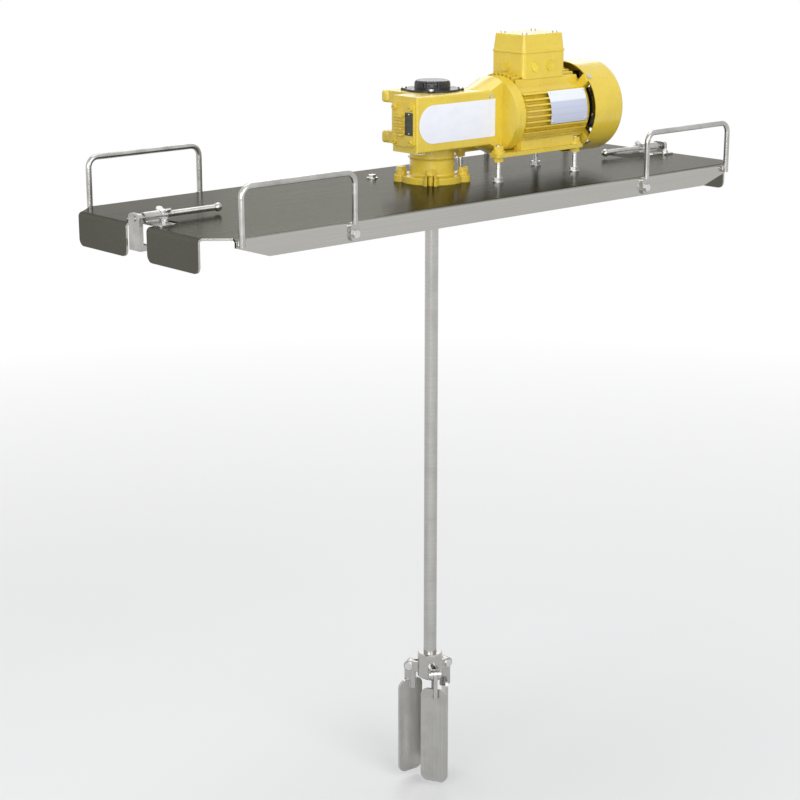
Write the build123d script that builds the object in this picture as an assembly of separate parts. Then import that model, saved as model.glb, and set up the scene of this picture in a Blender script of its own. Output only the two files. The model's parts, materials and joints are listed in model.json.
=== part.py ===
"""Portable agitator for an IBC tote: worm-geared motor on a hooked bridge plate, with a folding impeller.

Millimetres, +Z up, +X along the bridge from the plain end to the motor end. The origin is the centre of the
bridge plate's underside, where the bridge rests on the two rails. The drive is placed from its output axis.
"""
import os
from math import atan2, cos, degrees, pi, radians, sin, sqrt, tan
from build123d import *

# ---- bridge plate ----
bridge_length = 1014.0      # over the outer faces of the hook tabs
bridge_width = 328.0        # over the side flanges
sheet = 3.0                 # stainless sheet
bend_radius = 6.0           # outside of each fold
flange_depth = 28.0         # side flange, from the top of the plate
flange_inset = 35.0         # flange end, in from the end of the bridge
flange_step = 12.0          # square part of the flange end, below the top of the plate
flange_taper = 52.0         # length of the slanted flange end
hook_depth = 45.0           # hook tab, from the top of the plate
hook_span = 266.0           # over the two tabs of one end
hook_corner = 10.0
notch_width = 46.0
notch_depth = 52.0          # plain end
slot_depth = 102.0          # motor end
slot_corner = 6.0

# ---- rails that the hooks and latches take ----
rail_radius = 10.0

# ---- handles ----
handle_wire = 4.0           # radius
handle_inset = 6.5          # outer leg, in from the flange end
handle_span = 183.0         # between the legs of a handle
handle_top = 67.0           # centre of the grip above the rails
handle_bend = 14.0
handle_weld_end = -8.0      # foot of the welded leg
eye_width = 14.0
eye_thickness = 4.0
eye_height = -13.0          # fixing bolt
eye_reach = 10.0            # eye beyond its bolt
eye_top = 2.0

# ---- latches ----
rod_radius = 4.0
rod_length = 130.0          # from the bridge end to the ball
ball_radius = 6.0
saddle_thickness = 2.5
saddle_overlap = 16.0       # on the plate, each side of the notch
saddle_corner = 4.0
guide_inset = 11.0          # guide from the bridge end
guide_length = 25.0
guide_radius = 6.5
bolt_five = 2.5             # radius of an M5 thread
hole_five = 2.75
flats_five = 8.0
nut_five = 4.0
sink_radius = 4.6           # countersunk head
sink_depth = 2.1
sink_gap = 0.1
socket_five = 3.0           # hexagon socket, across flats
jaw_width = 24.0
jaw_thickness = 6.0
jaw_lip = 14.0
jaw_lip_thickness = 6.0
jaw_clear = 4.0             # lip below the rail
jaw_corner = 5.0
wing_hub_radius = 7.0
wing_length = 10.0
wing_reach = 15.0
wing_thickness = 2.6
wing_corner = 3.0
wing_flare = 2.0            # wings beyond the inner end of the hub
wing_set_back = 3.0         # wings behind the outer end of the hub
wing_angles = (-55, 55)     # from the upright
wing_gap = 0.3

# ---- running fits ----
fit = 0.05                  # radial, shaft in bore

# ---- drive position ----
drive_x = 21.0              # output axis from the middle of the bridge
drive_y = 14.0
pilot_radius = 20.0         # hole in the plate under the drive
axis_height = 91.5          # worm and motor axis above the plate
centre_distance = 31.5      # output axis to worm axis

# ---- output flange ----
flange_radius = 45.0
flange_thick = 10.0
flange_bolt_circle = 45.0   # radius
flange_lug = 11.5
flange_slot = 10.0          # open slot of each lug
lug_boss = 4.5              # raised seat of each bolt
lug_boss_radius = 8.5
cast_edge = 1.5             # rounding of cast rims
barrel_radius = 32.5
spigot_length = 5.0
spigot_step = 1.5
seat_shoulder = 3.0         # ring that a bearing or cover rests on
bolt_eight = 4.0            # radius of an M8 thread
hole_eight = 4.5
head_eight = 5.3

# ---- output shaft and its bearings ----
hollow_radius = 15.0
hollow_start = 0.5          # above the plate
hollow_rise = 41.5          # above the worm axis
output_bearing_radius = 27.5
output_bearing_width = 13.0
output_seal_width = 7.0
output_seal_start = 1.0     # above the plate
ring_share = 0.28           # bearing ring wall, of the whole section
ball_share = 0.26           # bearing ball radius, of the whole section
bearing_balls = 8
groove_share = 0.6          # half width of the ball track, of the ball's radius
cage_half = 1.0
cage_inset = 0.6
cover_gap = 1.5             # upper seal below the top of the case
seal_gap = 0.5              # between a seal and its bearing
seal_wall = 2.5
seal_web = 1.8
seal_lip = 3.0              # web's edge from the shaft
seal_lip_wall = 3.5
seal_lip_length = 4.5

# ---- worm gear ----
gear_module = 1.5
worm_starts = 2
wheel_teeth = 30
worm_pitch_radius = 9.0
tooth_add = 1.35
tooth_ded = 1.75
thread_thick = 2.0          # at the pitch line
tooth_gap = 2.8             # at the pitch line
pressure_angle = 20.0
rim_width = 16.0
rim_inner = 17.5
hub_width = 26.0
worm_turns = 4
mesh_sink = 0.4             # overlap of tooth shapes with their blanks
shaft_gap = 0.5             # clearance round and between shafts

# ---- gear housing ----
case_half_height = 39.5
case_front = -57.5          # from the output axis
case_back = -5.0
case_left = -82.0
case_right = 72.0
case_wall = 7.0
case_edge = 3.0
wheel_front = -30.0
wheel_side = 50.0
lug_centre = 45.0
lug_radius = 9.0
lug_edge = 4.0
side_plate = 17.0           # thickness of the top and bottom plates on the wheel side
side_rise = 4.0             # lower plate above the bottom of the case
core_radius = 44.0
fin_reach = 57.0
fin_thick = 2.6
fin_pitch = 8.6
bell_start = 47.0
bell_small = 40.0
bell_radius = 56.0
bell_end = 84.6
bell_flange = 9.4
wheel_room = 30.0
worm_room = 13.0
bell_room = 23.0
worm_shaft_radius = 7.5
worm_bearing_radius = 17.5
worm_bearing_width = 11.0
worm_left_seat = -78.0
worm_right_seat = 50.0
worm_right_end = 71.0
coupling_radius = 15.0
coupling_start = 72.0
coupling_length = 30.0
coupling_shaft = 7.0
coupling_edge = 1.0
shaft_break = 87.0

# ---- covers, cap, plates and plugs of the gearbox ----
cover_radius = 36.0
cover_thick = 6.0
cover_hub = 29.5
end_cover_width = 45.0
end_cover_height = 60.0
end_cover_thick = 4.0
end_cover_corner = 5.0
end_cover_margin = 6.0      # screws from the edges
end_cover_hole = 2.6
end_cover_screw = (2.5, 3.9, 4.2, 3.0)      # radius, length, head radius, head height
end_fin_front = -36.0
end_fin_length = 17.0
end_fin_depth = 9.0
top_screw = 2.0
top_screw_depth = 5.0
type_plate_inset = 1.0
type_plate_width = 16.0
type_plate_thick = 0.6
type_plate_low = -14.0      # from the worm axis
type_plate_high = 18.0
cap_brim = 40.0
cap_brim_thick = 3.0
cap_radius = 26.0
cap_height = 15.0
cap_wall = 2.5
cap_edge = 5.0
cap_grips = 8               # notches round the dome
cap_grip = 2.5
cap_ear = 5.0
cap_ear_circle = 40.5
cap_screw = 2.2
cap_screw_depth = 6.0
cap_screw_head = (3.8, 2.4) # radius, height
front_screw = 1.5
front_screw_head = (3.2, 2.0)
front_screw_inset = 11.0    # from the right end of the case
front_screw_drop = 8.0      # below the top of the case
label_length = 148.0
label_height = 54.0
label_inset = 4.0
label_thick = 0.5
plug_radius = 7.0
plug_thread = 5.0
plug_head = 5.0
plug_length = 8.0
drain_inset = 28.0

# ---- motor ----
shield_radius = 56.0
shield_thick = 11.0
motor_radius = 60.0         # over the fins
motor_core = 52.0
motor_bore = 47.0
housing_end = 232.0
motor_fin = 2.6
motor_fin_pitch = 8.0
fin_band = 36.0
shaft_radius = 8.5
motor_bearing_radius = 20.0
motor_bearing_width = 12.0
seat_wall = 5.0
front_seat = 10.0           # front bearing from the gearbox
rear_seat = 4.0             # rear bearing inside the housing
stator_start = 135.0
stator_length = 60.0
air_gap = 0.5
rotor_radius = 27.8
winding_length = 16.0
winding_inner = 31.0
winding_outer = 43.0
winding_edge = 4.0
stator_slots = 24
slot_width = 3.0
slot_reach = 36.0
end_ring = 8.0              # length of the rotor's end rings
end_ring_step = 4.0
rear_thick = 10.0
cowl_radius = 68.0
cowl_wall = 1.5
cowl_start = 239.0
cowl_length = 64.0
fan_start = 253.0
fan_depth = 20.0
fan_radius = 52.0
fan_blades = 6
fan_hub = 13.0
fan_disc = 46.0
fan_sheet = 2.0
fan_tail = 4.0              # shaft beyond the fan
cowl_edge = 9.0
cowl_screw = (2.0, 7.0, 4.0, 2.0)           # radius, length, head radius, head height
cowl_screw_inset = 4.0      # from the cowl's open end
cowl_screw_hole = 2.2
air_hole = 3.2
air_rings = ((8, 16.0), (14, 28.0), (20, 40.0))     # holes and radius of each ring
arm_width = 14.0
arm_root = 30.0
arm_before = 3.0            # arm outside the cowl
arm_after = 9.0             # arm inside the cowl

# ---- motor feet and their studs ----
foot_offset = 40.0          # rail from the motor axis
foot_width = 20.0
foot_start = 54.0
foot_end = 234.0
foot_base = 36.0            # underside above the plate
foot_thick = 6.0
foot_web = 10.0
foot_corner = 5.0
foot_pad = 3.0              # pad above the rail
stud_over = 1.5             # stud end above its nut
stud_radius = 4.0
stud_gap = 0.3              # round a stud in its hole
stud_left = 64.0
stud_right = 224.0
stud_tail = 9.0
nut_height = 5.0
nut_flats = 13.0
washer_radius = 8.0
washer_thick = 1.6

# ---- terminal box ----
box_start = 120.0
box_length = 87.0
box_half = 33.0
box_rise = 37.5             # lower edge above the motor axis
box_split = 87.5            # joint above the motor axis
box_top = 114.5
box_wall = 3.0
box_seat = 1.5              # flat under the box, above the core
box_gap = 0.2               # box over the fins
box_corner = 6.0
cover_edge = 2.5
cover_screw_inset = (12.0, 11.0)
cover_screw = 2.0
cover_screw_hole = 2.3
cover_screw_head = (4.0, 3.0)
post_radius = 3.5
box_draft = 7.0
plug_pitch = 31.0
blank_radius = 7.5
blank_thick = 2.0
blank_rim = 2.5
blank_sink = 0.8
blank_rise = 8.0            # entries above the fins' top
entry_radius = 6.5
entry_offset = (4.0, 4.0)   # front pair and left entry, from the middle of the box
board_half = (20.0, 14.0)   # terminal board
board_height = 10.0
board_studs = (12.0, 7.0)   # half pitches
board_stud = 2.5
board_stud_top = 20.0

# ---- motor plate ----
plate_start = 152.0
plate_length = 76.0
plate_low = -13.0           # degrees round the motor axis
plate_high = 33.0
plate_thick = 0.8
plate_gap = 0.1             # over the fins

# ---- M6 bolts, and the earthing bolt on the plate ----
bolt_six = 3.0              # radius of an M6 thread
hole_six = 3.3
flats_six = 10.0
head_six = 4.0
nut_six = 5.0
eye_bolt_length = 14.0
earth_x = -28.0
earth_y = 90.0

# ---- agitator shaft and impeller ----
stir_radius = 10.0
stir_end = -775.0
stir_chamfer = 1.0
stir_collar = 14.0
stir_collar_length = 7.0
stir_top_gap = 15.0         # shaft end below the top of the hollow shaft
key_width = 6.0
key_length = 40.0
key_height = 6.0
end_bolt_depth = 22.0
end_washer = 3.0
hub_height = -750.0         # middle of the impeller hub
hub_length = 40.0
hub_radius = 19.0
hub_chamfer = 1.5
grub_radius = 3.0           # set screws
grub_end = 18.5
grub_rises = (6.0, 14.0)    # above the hub's middle
hinge_radius = 32.0         # hinge pin from the shaft axis
hinge_drop = 6.0            # pin below the hub's middle
cheek_thick = 4.0
cheek_reach = 8.5
tang_thick = 6.0
tang_gap = 0.3
tang_width = 17.0
tang_lap = 14.0             # welded length on the paddle
blade_count = 3
blade_width = 44.0
blade_length = 178.0        # from the hinge pin to the tip
blade_thick = 4.0
blade_neck = 24.0
blade_pitch = 35.0
blade_corner = 12.0
pin_radius = 4.0
pin_head = 6.0
pin_head_thick = 2.0

# ---- derived places ----
half_length = bridge_length / 2
half_width = bridge_width / 2
flange_reach = half_length - flange_inset
outer_leg = flange_reach - handle_inset
inner_leg = outer_leg - handle_span
axis_z = sheet + axis_height
case_bottom = axis_z - case_half_height
case_top = axis_z + case_half_height
motor_y = -centre_distance
motor_start = bell_end + bell_flange
housing_start = motor_start + shield_thick
hollow_top = axis_z + hollow_rise
wheel_pitch_radius = gear_module * wheel_teeth / 2
axial_pitch = pi * gear_module
lead = axial_pitch * worm_starts
foot_z = sheet + foot_base
rod_z = sheet + saddle_thickness + guide_radius - 0.5


# ---- shapes ----
def block(x0, x1, y0, y1, z0, z1):
    """Box between two corners."""
    return Pos((x0 + x1) / 2, (y0 + y1) / 2, (z0 + z1) / 2) * Box(x1 - x0, y1 - y0, z1 - z0)


def bar_x(radius, x0, x1, y=0.0, z=0.0):
    """Round bar along X."""
    return Pos((x0 + x1) / 2, y, z) * Rot(0, 90, 0) * Cylinder(radius, x1 - x0)


def bar_y(radius, y0, y1, x=0.0, z=0.0):
    """Round bar along Y."""
    return Pos(x, (y0 + y1) / 2, z) * Rot(90, 0, 0) * Cylinder(radius, y1 - y0)


def bar_z(radius, z0, z1, x=0.0, y=0.0):
    """Round bar along Z."""
    return Pos(x, y, (z0 + z1) / 2) * Cylinder(radius, z1 - z0)


def tube_x(outer, inner, x0, x1, y=0.0, z=0.0):
    """Ring along X."""
    return bar_x(outer, x0, x1, y, z) - bar_x(inner, x0 - 1, x1 + 1, y, z)


def tube_z(outer, inner, z0, z1, x=0.0, y=0.0):
    """Ring along Z."""
    return bar_z(outer, z0, z1, x, y) - bar_z(inner, z0 - 1, z1 + 1, x, y)


def eased(bar, radius):
    """Rounds the upper rim of a bar along Z."""
    return fillet(bar.edges().filter_by(GeomType.CIRCLE).group_by(Axis.Z)[-1], radius)


def hexagon_z(flats, z0, z1, x=0.0, y=0.0):
    """Hexagonal bar along Z."""
    return Pos(x, y, z0) * extrude(RegularPolygon(flats / sqrt(3), 6), z1 - z0)


def hex_nut(bore, flats, z0, z1, x=0.0, y=0.0):
    """Hexagon nut along Z on a thread of the bore's radius."""
    return hexagon_z(flats, z0, z1, x, y) - bar_z(bore, z0 - 1, z1 + 1, x, y)


def profile_y(points, y0, y1):
    """Prism along Y of an outline in the XZ plane."""
    face = make_face(Polyline(*[(x, 0, z) for x, z in points], close=True))
    return Pos(0, y0, 0) * extrude(face, y1 - y0, dir=(0, 1, 0))


def screw(radius, length, head_radius, head_height):
    """Socket head screw: head above the XY plane, shank below."""
    head = bar_z(head_radius, 0, head_height) - hexagon_z(radius, head_height * 0.4, head_height + 1)
    return head + bar_z(radius, -length, 0)


def joined(first, *others):
    """One solid out of touching or crossing shapes."""
    shape = first
    for other in others:
        shape = shape + other
    return shape


def drive(shape):
    """Moves a shape from the output axis to its place on the bridge."""
    return Pos(drive_x, drive_y, 0) * shape


def around(count, radius, start=0.0):
    """Points on a circle."""
    steps = [radians(start + 360 / count * i) for i in range(count)]
    return [(radius * cos(a), radius * sin(a)) for a in steps]


# ---- bridge ----
def folded_channel(length, width, depth):
    """Sheet along X with both long sides folded down; its top is the top of the plate."""
    outer = block(-length / 2, length / 2, -width / 2, width / 2, sheet - depth, sheet)
    outer = fillet(outer.edges().filter_by(Axis.X).group_by(Axis.Z)[-1], bend_radius)
    side = width / 2 - sheet
    inner = block(-length / 2 - 1, length / 2 + 1, -side, side, sheet - depth - 1, 0)
    inner = fillet(inner.edges().filter_by(Axis.X).group_by(Axis.Z)[-1], bend_radius - sheet)
    return outer - inner


def slot_cut(depth):
    """Open slot at the +X end of the bridge."""
    half = notch_width / 2
    cut = block(half_length - depth, half_length + 20, -half, half, -hook_depth - 5, sheet + 5)
    return fillet(cut.edges().filter_by(Axis.Z).group_by(Axis.X)[0], slot_corner)


def stud_places():
    """The four motor studs, from the output axis."""
    return [(x, motor_y + side * foot_offset) for x in (stud_left, stud_right) for side in (-1, 1)]


def saddle_screw_places():
    """Guide screws of the +X end."""
    x = half_length - guide_inset - guide_length / 2
    y = notch_width / 2 + saddle_overlap / 2
    return [(x, -y), (x, y)]


def bridge_plate():
    """Folded plate with side flanges, hook tabs, notch, slot and holes."""
    body = folded_channel(2 * flange_reach, bridge_width, flange_depth)
    low = sheet - flange_depth
    taper = profile_y([(flange_reach, sheet - flange_step), (flange_reach - flange_taper, low),
                       (flange_reach - flange_taper, low - 1), (flange_reach + 1, low - 1),
                       (flange_reach + 1, sheet - flange_step)], -half_width - 1, half_width + 1)
    body = body - taper - Rot(0, 0, 180) * taper
    body = body + Rot(0, 0, 90) * folded_channel(hook_span, bridge_length, hook_depth)
    inside = hook_span / 2 - bend_radius
    tip = half_length - bend_radius
    corner = make_face(Polyline((flange_reach - 5, inside), (flange_reach - 5, half_width - bend_radius),
                                (flange_reach, half_width - bend_radius), (tip, hook_span / 2),
                                (tip, inside), close=True))
    corner = extrude(corner, sheet)
    for flip in (corner, mirror(corner, Plane.XZ)):
        body = body + flip + mirror(flip, Plane.YZ)
    body = body - slot_cut(slot_depth) - Rot(0, 0, 180) * slot_cut(notch_depth)
    body = fillet(body.edges().filter_by(Axis.X).group_by(Axis.Z)[0], hook_corner)
    holes = [drive(bar_z(pilot_radius, -1, sheet + 1))]
    holes += [drive(bar_z(hole_eight, -1, sheet + 1, x, y)) for x, y in flange_bolts()]
    holes += [drive(bar_z(stud_radius + stud_gap, -1, sheet + 1, x, y)) for x, y in stud_places()]
    holes += [bar_z(hole_six, -1, sheet + 1, earth_x, earth_y)]
    for turn in (0, 180):
        for x, y in saddle_screw_places():
            sink = Pos(x, y, sink_depth / 2) * Cone(sink_radius + 2 * sink_gap, hole_five, sink_depth)
            holes += [Rot(0, 0, turn) * (sink + bar_z(hole_five, -1, sheet + 1, x, y))]
    for x in (-inner_leg, inner_leg):
        holes += [bar_y(hole_six, -half_width - 1, -half_width + sheet + 1, x, eye_height),
                  bar_y(hole_six, half_width - sheet - 1, half_width + 1, x, eye_height)]
    return body - holes


def handle(side_x, side_y):
    """Wire loop: inner leg ends in a flattened eye, outer leg is welded to the flange end."""
    y = half_width + handle_wire
    path = FilletPolyline((inner_leg, y, 0), (inner_leg, y, handle_top), (outer_leg, y, handle_top),
                          (outer_leg, y, handle_weld_end), radius=handle_bend)
    loop = sweep(Plane(origin=path @ 0, z_dir=path % 0) * Circle(handle_wire), path=path)
    eye = block(inner_leg - eye_width / 2, inner_leg + eye_width / 2, half_width, half_width + eye_thickness,
                eye_height - eye_reach, eye_top)
    eye = fillet(eye.edges().filter_by(Axis.Y).group_by(Axis.Z)[0], 0.46 * eye_width)
    loop = loop + eye - bar_y(hole_six, half_width - 1, half_width + 3 * eye_thickness, inner_leg, eye_height)
    if side_x < 0:
        loop = mirror(loop, Plane.YZ)
    if side_y < 0:
        loop = mirror(loop, Plane.XZ)
    return loop


def handle_fixings():
    """M6 bolts through the eyes and flanges, with nuts inside."""
    pieces = []
    for side_y in (-1, 1):
        for x in (-inner_leg, inner_leg):
            face = half_width + eye_thickness
            bolt = Pos(0, 0, face) * (hexagon_z(flats_six, 0, head_six) + bar_z(bolt_six, -eye_bolt_length, 0))
            nut = Pos(0, 0, half_width - sheet - nut_six) * hex_nut(bolt_six, flats_six, 0, nut_six)
            turn = Pos(x, 0, eye_height) * Rot(-90 * side_y, 0, 0)
            pieces += [turn * bolt, turn * nut]
    return pieces


def earth_bolt():
    """Earthing bolt with washer and nut."""
    top = sheet + washer_thick
    washer = tube_z(washer_radius, bolt_six, sheet, top, earth_x, earth_y)
    bolt = hexagon_z(flats_six, top, top + head_six, earth_x, earth_y)
    bolt = bolt + bar_z(bolt_six, -nut_six - head_six, top, earth_x, earth_y)
    return [washer, bolt, hex_nut(bolt_six, flats_six, -nut_six, 0, earth_x, earth_y)]


# ---- latches ----
def latch_guide():
    """Saddle over the notch with the guide tube of the hook rod."""
    x1 = half_length - guide_inset
    x0 = x1 - guide_length
    y = notch_width / 2 + saddle_overlap
    saddle = block(x0, x1, -y, y, sheet, sheet + saddle_thickness)
    saddle = fillet(saddle.edges().filter_by(Axis.Z), saddle_corner)
    guide = saddle + bar_x(guide_radius, x0, x1, 0, rod_z) - bar_x(rod_radius + fit, x0 - 1, x1 + 1, 0, rod_z)
    return guide - [bar_z(hole_five, 0, sheet + 9, x, y) for x, y in saddle_screw_places()]


def guide_screws():
    """M5 screws of one saddle: heads flush with the underside, where the rail passes, and nuts on top."""
    top = sheet + saddle_thickness
    pieces = []
    for x, y in saddle_screw_places():
        head = Pos(0, 0, sink_depth / 2) * Cone(sink_radius, bolt_five, sink_depth)
        shank = bar_z(bolt_five, 0, top + nut_five + stud_over)
        pieces.append(Pos(x, y, sink_gap) * (head + shank - hexagon_z(socket_five, -1, sink_depth / 2)))
        pieces.append(hex_nut(bolt_five, flats_five, top, top + nut_five, x, y))
    return pieces


def hook_rod():
    """Rod with the jaw that grips under the rail, and its ball."""
    inner = half_length - rod_length
    face = half_length - sheet
    rail_low = -2 * rail_radius
    lip_top = rail_low - jaw_clear
    jaw = profile_y([(face, rod_z + guide_radius), (face, lip_top + 2), (face - jaw_lip, lip_top),
                     (face - jaw_lip, lip_top - jaw_lip_thickness + 1.5),
                     (face - jaw_lip + 3, lip_top - jaw_lip_thickness),
                     (face + jaw_thickness, lip_top - jaw_lip_thickness),
                     (face + jaw_thickness, rod_z + guide_radius)], -jaw_width / 2, jaw_width / 2)
    jaw = fillet(jaw.edges().filter_by(Axis.X).group_by(Axis.Z)[-1], jaw_corner)
    rod = bar_x(rod_radius, inner - 3, face + jaw_thickness + 1.5, 0, rod_z)
    ball = Pos(inner, 0, rod_z) * Sphere(ball_radius)
    return [rod + jaw, ball - bar_x(rod_radius, inner - 3, inner + 20, 0, rod_z)]


def wing_nut():
    """Wing nut against the inner end of the guide."""
    x1 = half_length - guide_inset - guide_length - wing_gap
    x0 = x1 - wing_length
    nut = bar_x(wing_hub_radius, x0, x1, 0, rod_z)
    half = wing_thickness / 2
    wing = block(x0 - wing_flare, x1 - wing_set_back, -half, half, wing_hub_radius - 2, wing_reach)
    wing = fillet(wing.edges().filter_by(Axis.Y).group_by(Axis.Z)[-1], wing_corner)
    for turn in wing_angles:
        nut = nut + Pos(0, 0, rod_z) * Rot(turn, 0, 0) * wing
    return nut - bar_x(rod_radius + fit, x0 - 5, x1 + 5, 0, rod_z)


# ---- drive: output side ----
def output_flange():
    """Flange with four slotted lugs, and the barrel that carries the gearbox."""
    top = case_bottom
    face = sheet + flange_thick
    body = eased(bar_z(flange_radius, sheet, face), cast_edge)
    for x, y in flange_bolts():
        body = body + eased(bar_z(flange_lug, sheet, face, x, y), cast_edge)
        body = body + eased(bar_z(lug_boss_radius, sheet, face + lug_boss, x, y), cast_edge / 2)
    spigot = bar_z(barrel_radius - spigot_step, top, top + spigot_length)
    body = body + bar_z(barrel_radius, sheet, top) + spigot
    seat_top = sheet + output_seal_start + output_seal_width + output_bearing_width
    body = body - bar_z(output_bearing_radius, sheet - 1, seat_top)
    body = body - bar_z(output_bearing_radius - seat_shoulder, seat_top - 1, top + spigot_length + 1)
    half = flange_slot / 2
    slot = block(flange_bolt_circle, flange_bolt_circle + 2 * flange_lug, -half, half, 0, face + lug_boss + 1)
    return body - [Rot(0, 0, 45 + 90 * i) * (slot + bar_z(half, 0, face + lug_boss + 1, flange_bolt_circle))
                   for i in range(4)]


def flange_bolts():
    """Places of the four flange bolts."""
    return around(4, flange_bolt_circle, 45)


def bolt_stack(x, y, top):
    """M8 bolt with washer, down through the plate to its nut."""
    washer = tube_z(washer_radius, bolt_eight, top, top + washer_thick, x, y)
    head = top + washer_thick
    bolt = hexagon_z(nut_flats, head, head + head_eight, x, y) + bar_z(bolt_eight, -stud_tail, head, x, y)
    under = tube_z(washer_radius, bolt_eight, -washer_thick, 0, x, y)
    nut = hex_nut(bolt_eight, nut_flats, -washer_thick - nut_height, -washer_thick, x, y)
    return [washer, bolt, under, nut]


def flange_fixings():
    """The four flange bolts."""
    top = sheet + flange_thick + lug_boss
    return [piece for x, y in flange_bolts() for piece in bolt_stack(x, y, top)]


def hollow_shaft():
    """Hollow output shaft with keyways for the wheel's bore and the agitator shaft."""
    shaft = tube_z(hollow_radius, stir_radius + fit, sheet + hollow_start, hollow_top)
    half = key_width / 2
    return shaft - block(0, stir_radius + key_height / 2, -half, half, key_bottom() - 1, hollow_top + 1)


def key_bottom():
    """Lower end of the drive key."""
    return axis_z - key_length / 2


def shaft_key():
    """Parallel key between the agitator shaft and the hollow shaft."""
    half = key_width / 2
    inner = stir_radius - key_height / 2
    return block(inner, inner + key_height, -half, half, key_bottom(), key_bottom() + key_length)


def lower_bearing_z():
    """Lower face of the lower output bearing."""
    return sheet + output_seal_start + output_seal_width


def upper_bearing_z():
    """Lower face of the upper output bearing."""
    return case_top - output_seal_width - cover_gap - output_bearing_width


def ball_bearing(outer, inner, width):
    """Bearing along Z from the XY plane: grooved rings, balls and their cage."""
    middle = (outer + inner) / 2
    ring_wall = (outer - inner) * ring_share
    ball = (outer - inner) * ball_share
    track = groove_share * ball
    groove = tube_z(middle + ball, middle - ball, width / 2 - track, width / 2 + track)
    rings = [tube_z(outer, outer - ring_wall, 0, width), tube_z(inner + ring_wall, inner, 0, width)]
    balls = [Pos(x, y, width / 2) * Sphere(ball) for x, y in around(bearing_balls, middle)]
    cage = tube_z(middle + cage_half, middle - cage_half, cage_inset, width / 2 - ball - fit)
    return [ring - groove for ring in rings] + balls + [cage]


def placed(place, pieces):
    """Several pieces moved together."""
    return [place * piece for piece in pieces]


def output_bearings():
    """The two bearings of the hollow shaft."""
    bearing = ball_bearing(output_bearing_radius, hollow_radius + fit, output_bearing_width)
    return placed(Pos(0, 0, lower_bearing_z()), bearing) + placed(Pos(0, 0, upper_bearing_z()), bearing)


def lip_seal(outer, inner, width):
    """Oil seal along Z from the XY plane: case with a lip near the shaft."""
    shell = tube_z(outer, outer - seal_wall, 0, width) + tube_z(outer, inner + seal_lip, width - seal_web, width)
    return shell + tube_z(inner + seal_lip_wall, inner, width - seal_lip_length, width)


def oil_seals():
    """Seals below and above the output bearings, and on the worm shaft."""
    seal = lip_seal(output_bearing_radius, hollow_radius + fit, output_seal_width)
    upper = upper_bearing_z() + output_bearing_width + seal_gap
    worm_seal = lip_seal(worm_bearing_radius, worm_shaft_radius + fit, output_seal_width)
    start = worm_right_seat + worm_bearing_width + seal_gap
    return [Pos(0, 0, sheet + output_seal_start) * seal, Pos(0, 0, upper) * seal,
            Pos(start, motor_y, axis_z) * Rot(0, 90, 0) * worm_seal]


# ---- drive: worm gear ----
def worm():
    """Worm shaft with a two-start right-hand thread."""
    root = worm_pitch_radius - tooth_ded + fit
    tip = worm_pitch_radius + tooth_add
    slope = tan(radians(pressure_angle))
    base = root - mesh_sink
    half_base = thread_thick / 2 + (worm_pitch_radius - base) * slope
    half_tip = thread_thick / 2 - tooth_add * slope
    length = worm_turns * lead
    path = Helix(lead, length, worm_pitch_radius)
    section = make_face(Polyline((base, 0, -half_base), (tip, 0, -half_tip), (tip, 0, half_tip),
                                 (base, 0, half_base), close=True))
    thread = sweep(section, path=path, is_frenet=True)
    screw_part = bar_z(root, -3, length + 3)
    for start in range(worm_starts):
        screw_part = screw_part + Rot(0, 0, 360 / worm_starts * start) * thread
    trim = bar_z(tip + 5, 0, length)
    screw_part = (screw_part & trim)
    laid = Pos(-length / 2, motor_y, axis_z) * Rot(90, 0, 0) * Rot(0, 90, 0) * screw_part
    left = bar_x(worm_shaft_radius, worm_left_seat, -length / 2, motor_y, axis_z)
    right = bar_x(worm_shaft_radius, length / 2, worm_right_end, motor_y, axis_z)
    tail = bar_x(coupling_shaft, worm_right_seat, shaft_break - shaft_gap, motor_y, axis_z)
    return joined(laid, left, right, tail)


def worm_bearings():
    """Bearings at both ends of the worm."""
    bearing = ball_bearing(worm_bearing_radius, worm_shaft_radius + fit, worm_bearing_width)
    turn = Pos(0, motor_y, axis_z) * Rot(0, 90, 0)
    return placed(Pos(worm_left_seat, 0, 0) * turn, bearing) + placed(Pos(worm_right_seat, 0, 0) * turn, bearing)


def coupling_sleeve():
    """Sleeve that joins the worm shaft to the motor shaft."""
    end = coupling_start + coupling_length
    sleeve = tube_x(coupling_radius, coupling_shaft, coupling_start, end, motor_y, axis_z)
    return fillet(sleeve.edges().filter_by(GeomType.CIRCLE).group_by(SortBy.RADIUS)[-1], coupling_edge)


def wheel_rim():
    """Bronze rim with slanted teeth; one gap faces the worm."""
    tip = wheel_pitch_radius + tooth_add
    root = wheel_pitch_radius - tooth_ded
    slope = tan(radians(pressure_angle))
    lead_angle = degrees(atan2(gear_module * worm_starts, 2 * worm_pitch_radius))
    half_tip = tooth_gap / 2 + (tooth_add + mesh_sink) * slope
    half_root = tooth_gap / 2 - tooth_ded * slope
    outline = make_face(Polyline((-half_root, -root), (-half_tip, -tip - mesh_sink), (half_tip, -tip - mesh_sink),
                                 (half_root, -root), close=True))
    gap = Pos(0, 0, -rim_width) * extrude(outline, 2 * rim_width)
    gap = Rot(0, lead_angle, 0) * gap
    rim = tube_z(tip, rim_inner, -rim_width / 2, rim_width / 2)
    rim = rim - [Rot(0, 0, 360 / wheel_teeth * i) * gap for i in range(wheel_teeth)]
    return Pos(0, 0, axis_z) * rim


def wheel_hub():
    """Iron hub of the worm wheel."""
    hub = tube_z(rim_inner, hollow_radius, axis_z - hub_width / 2, axis_z + hub_width / 2)
    return hub


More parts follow.
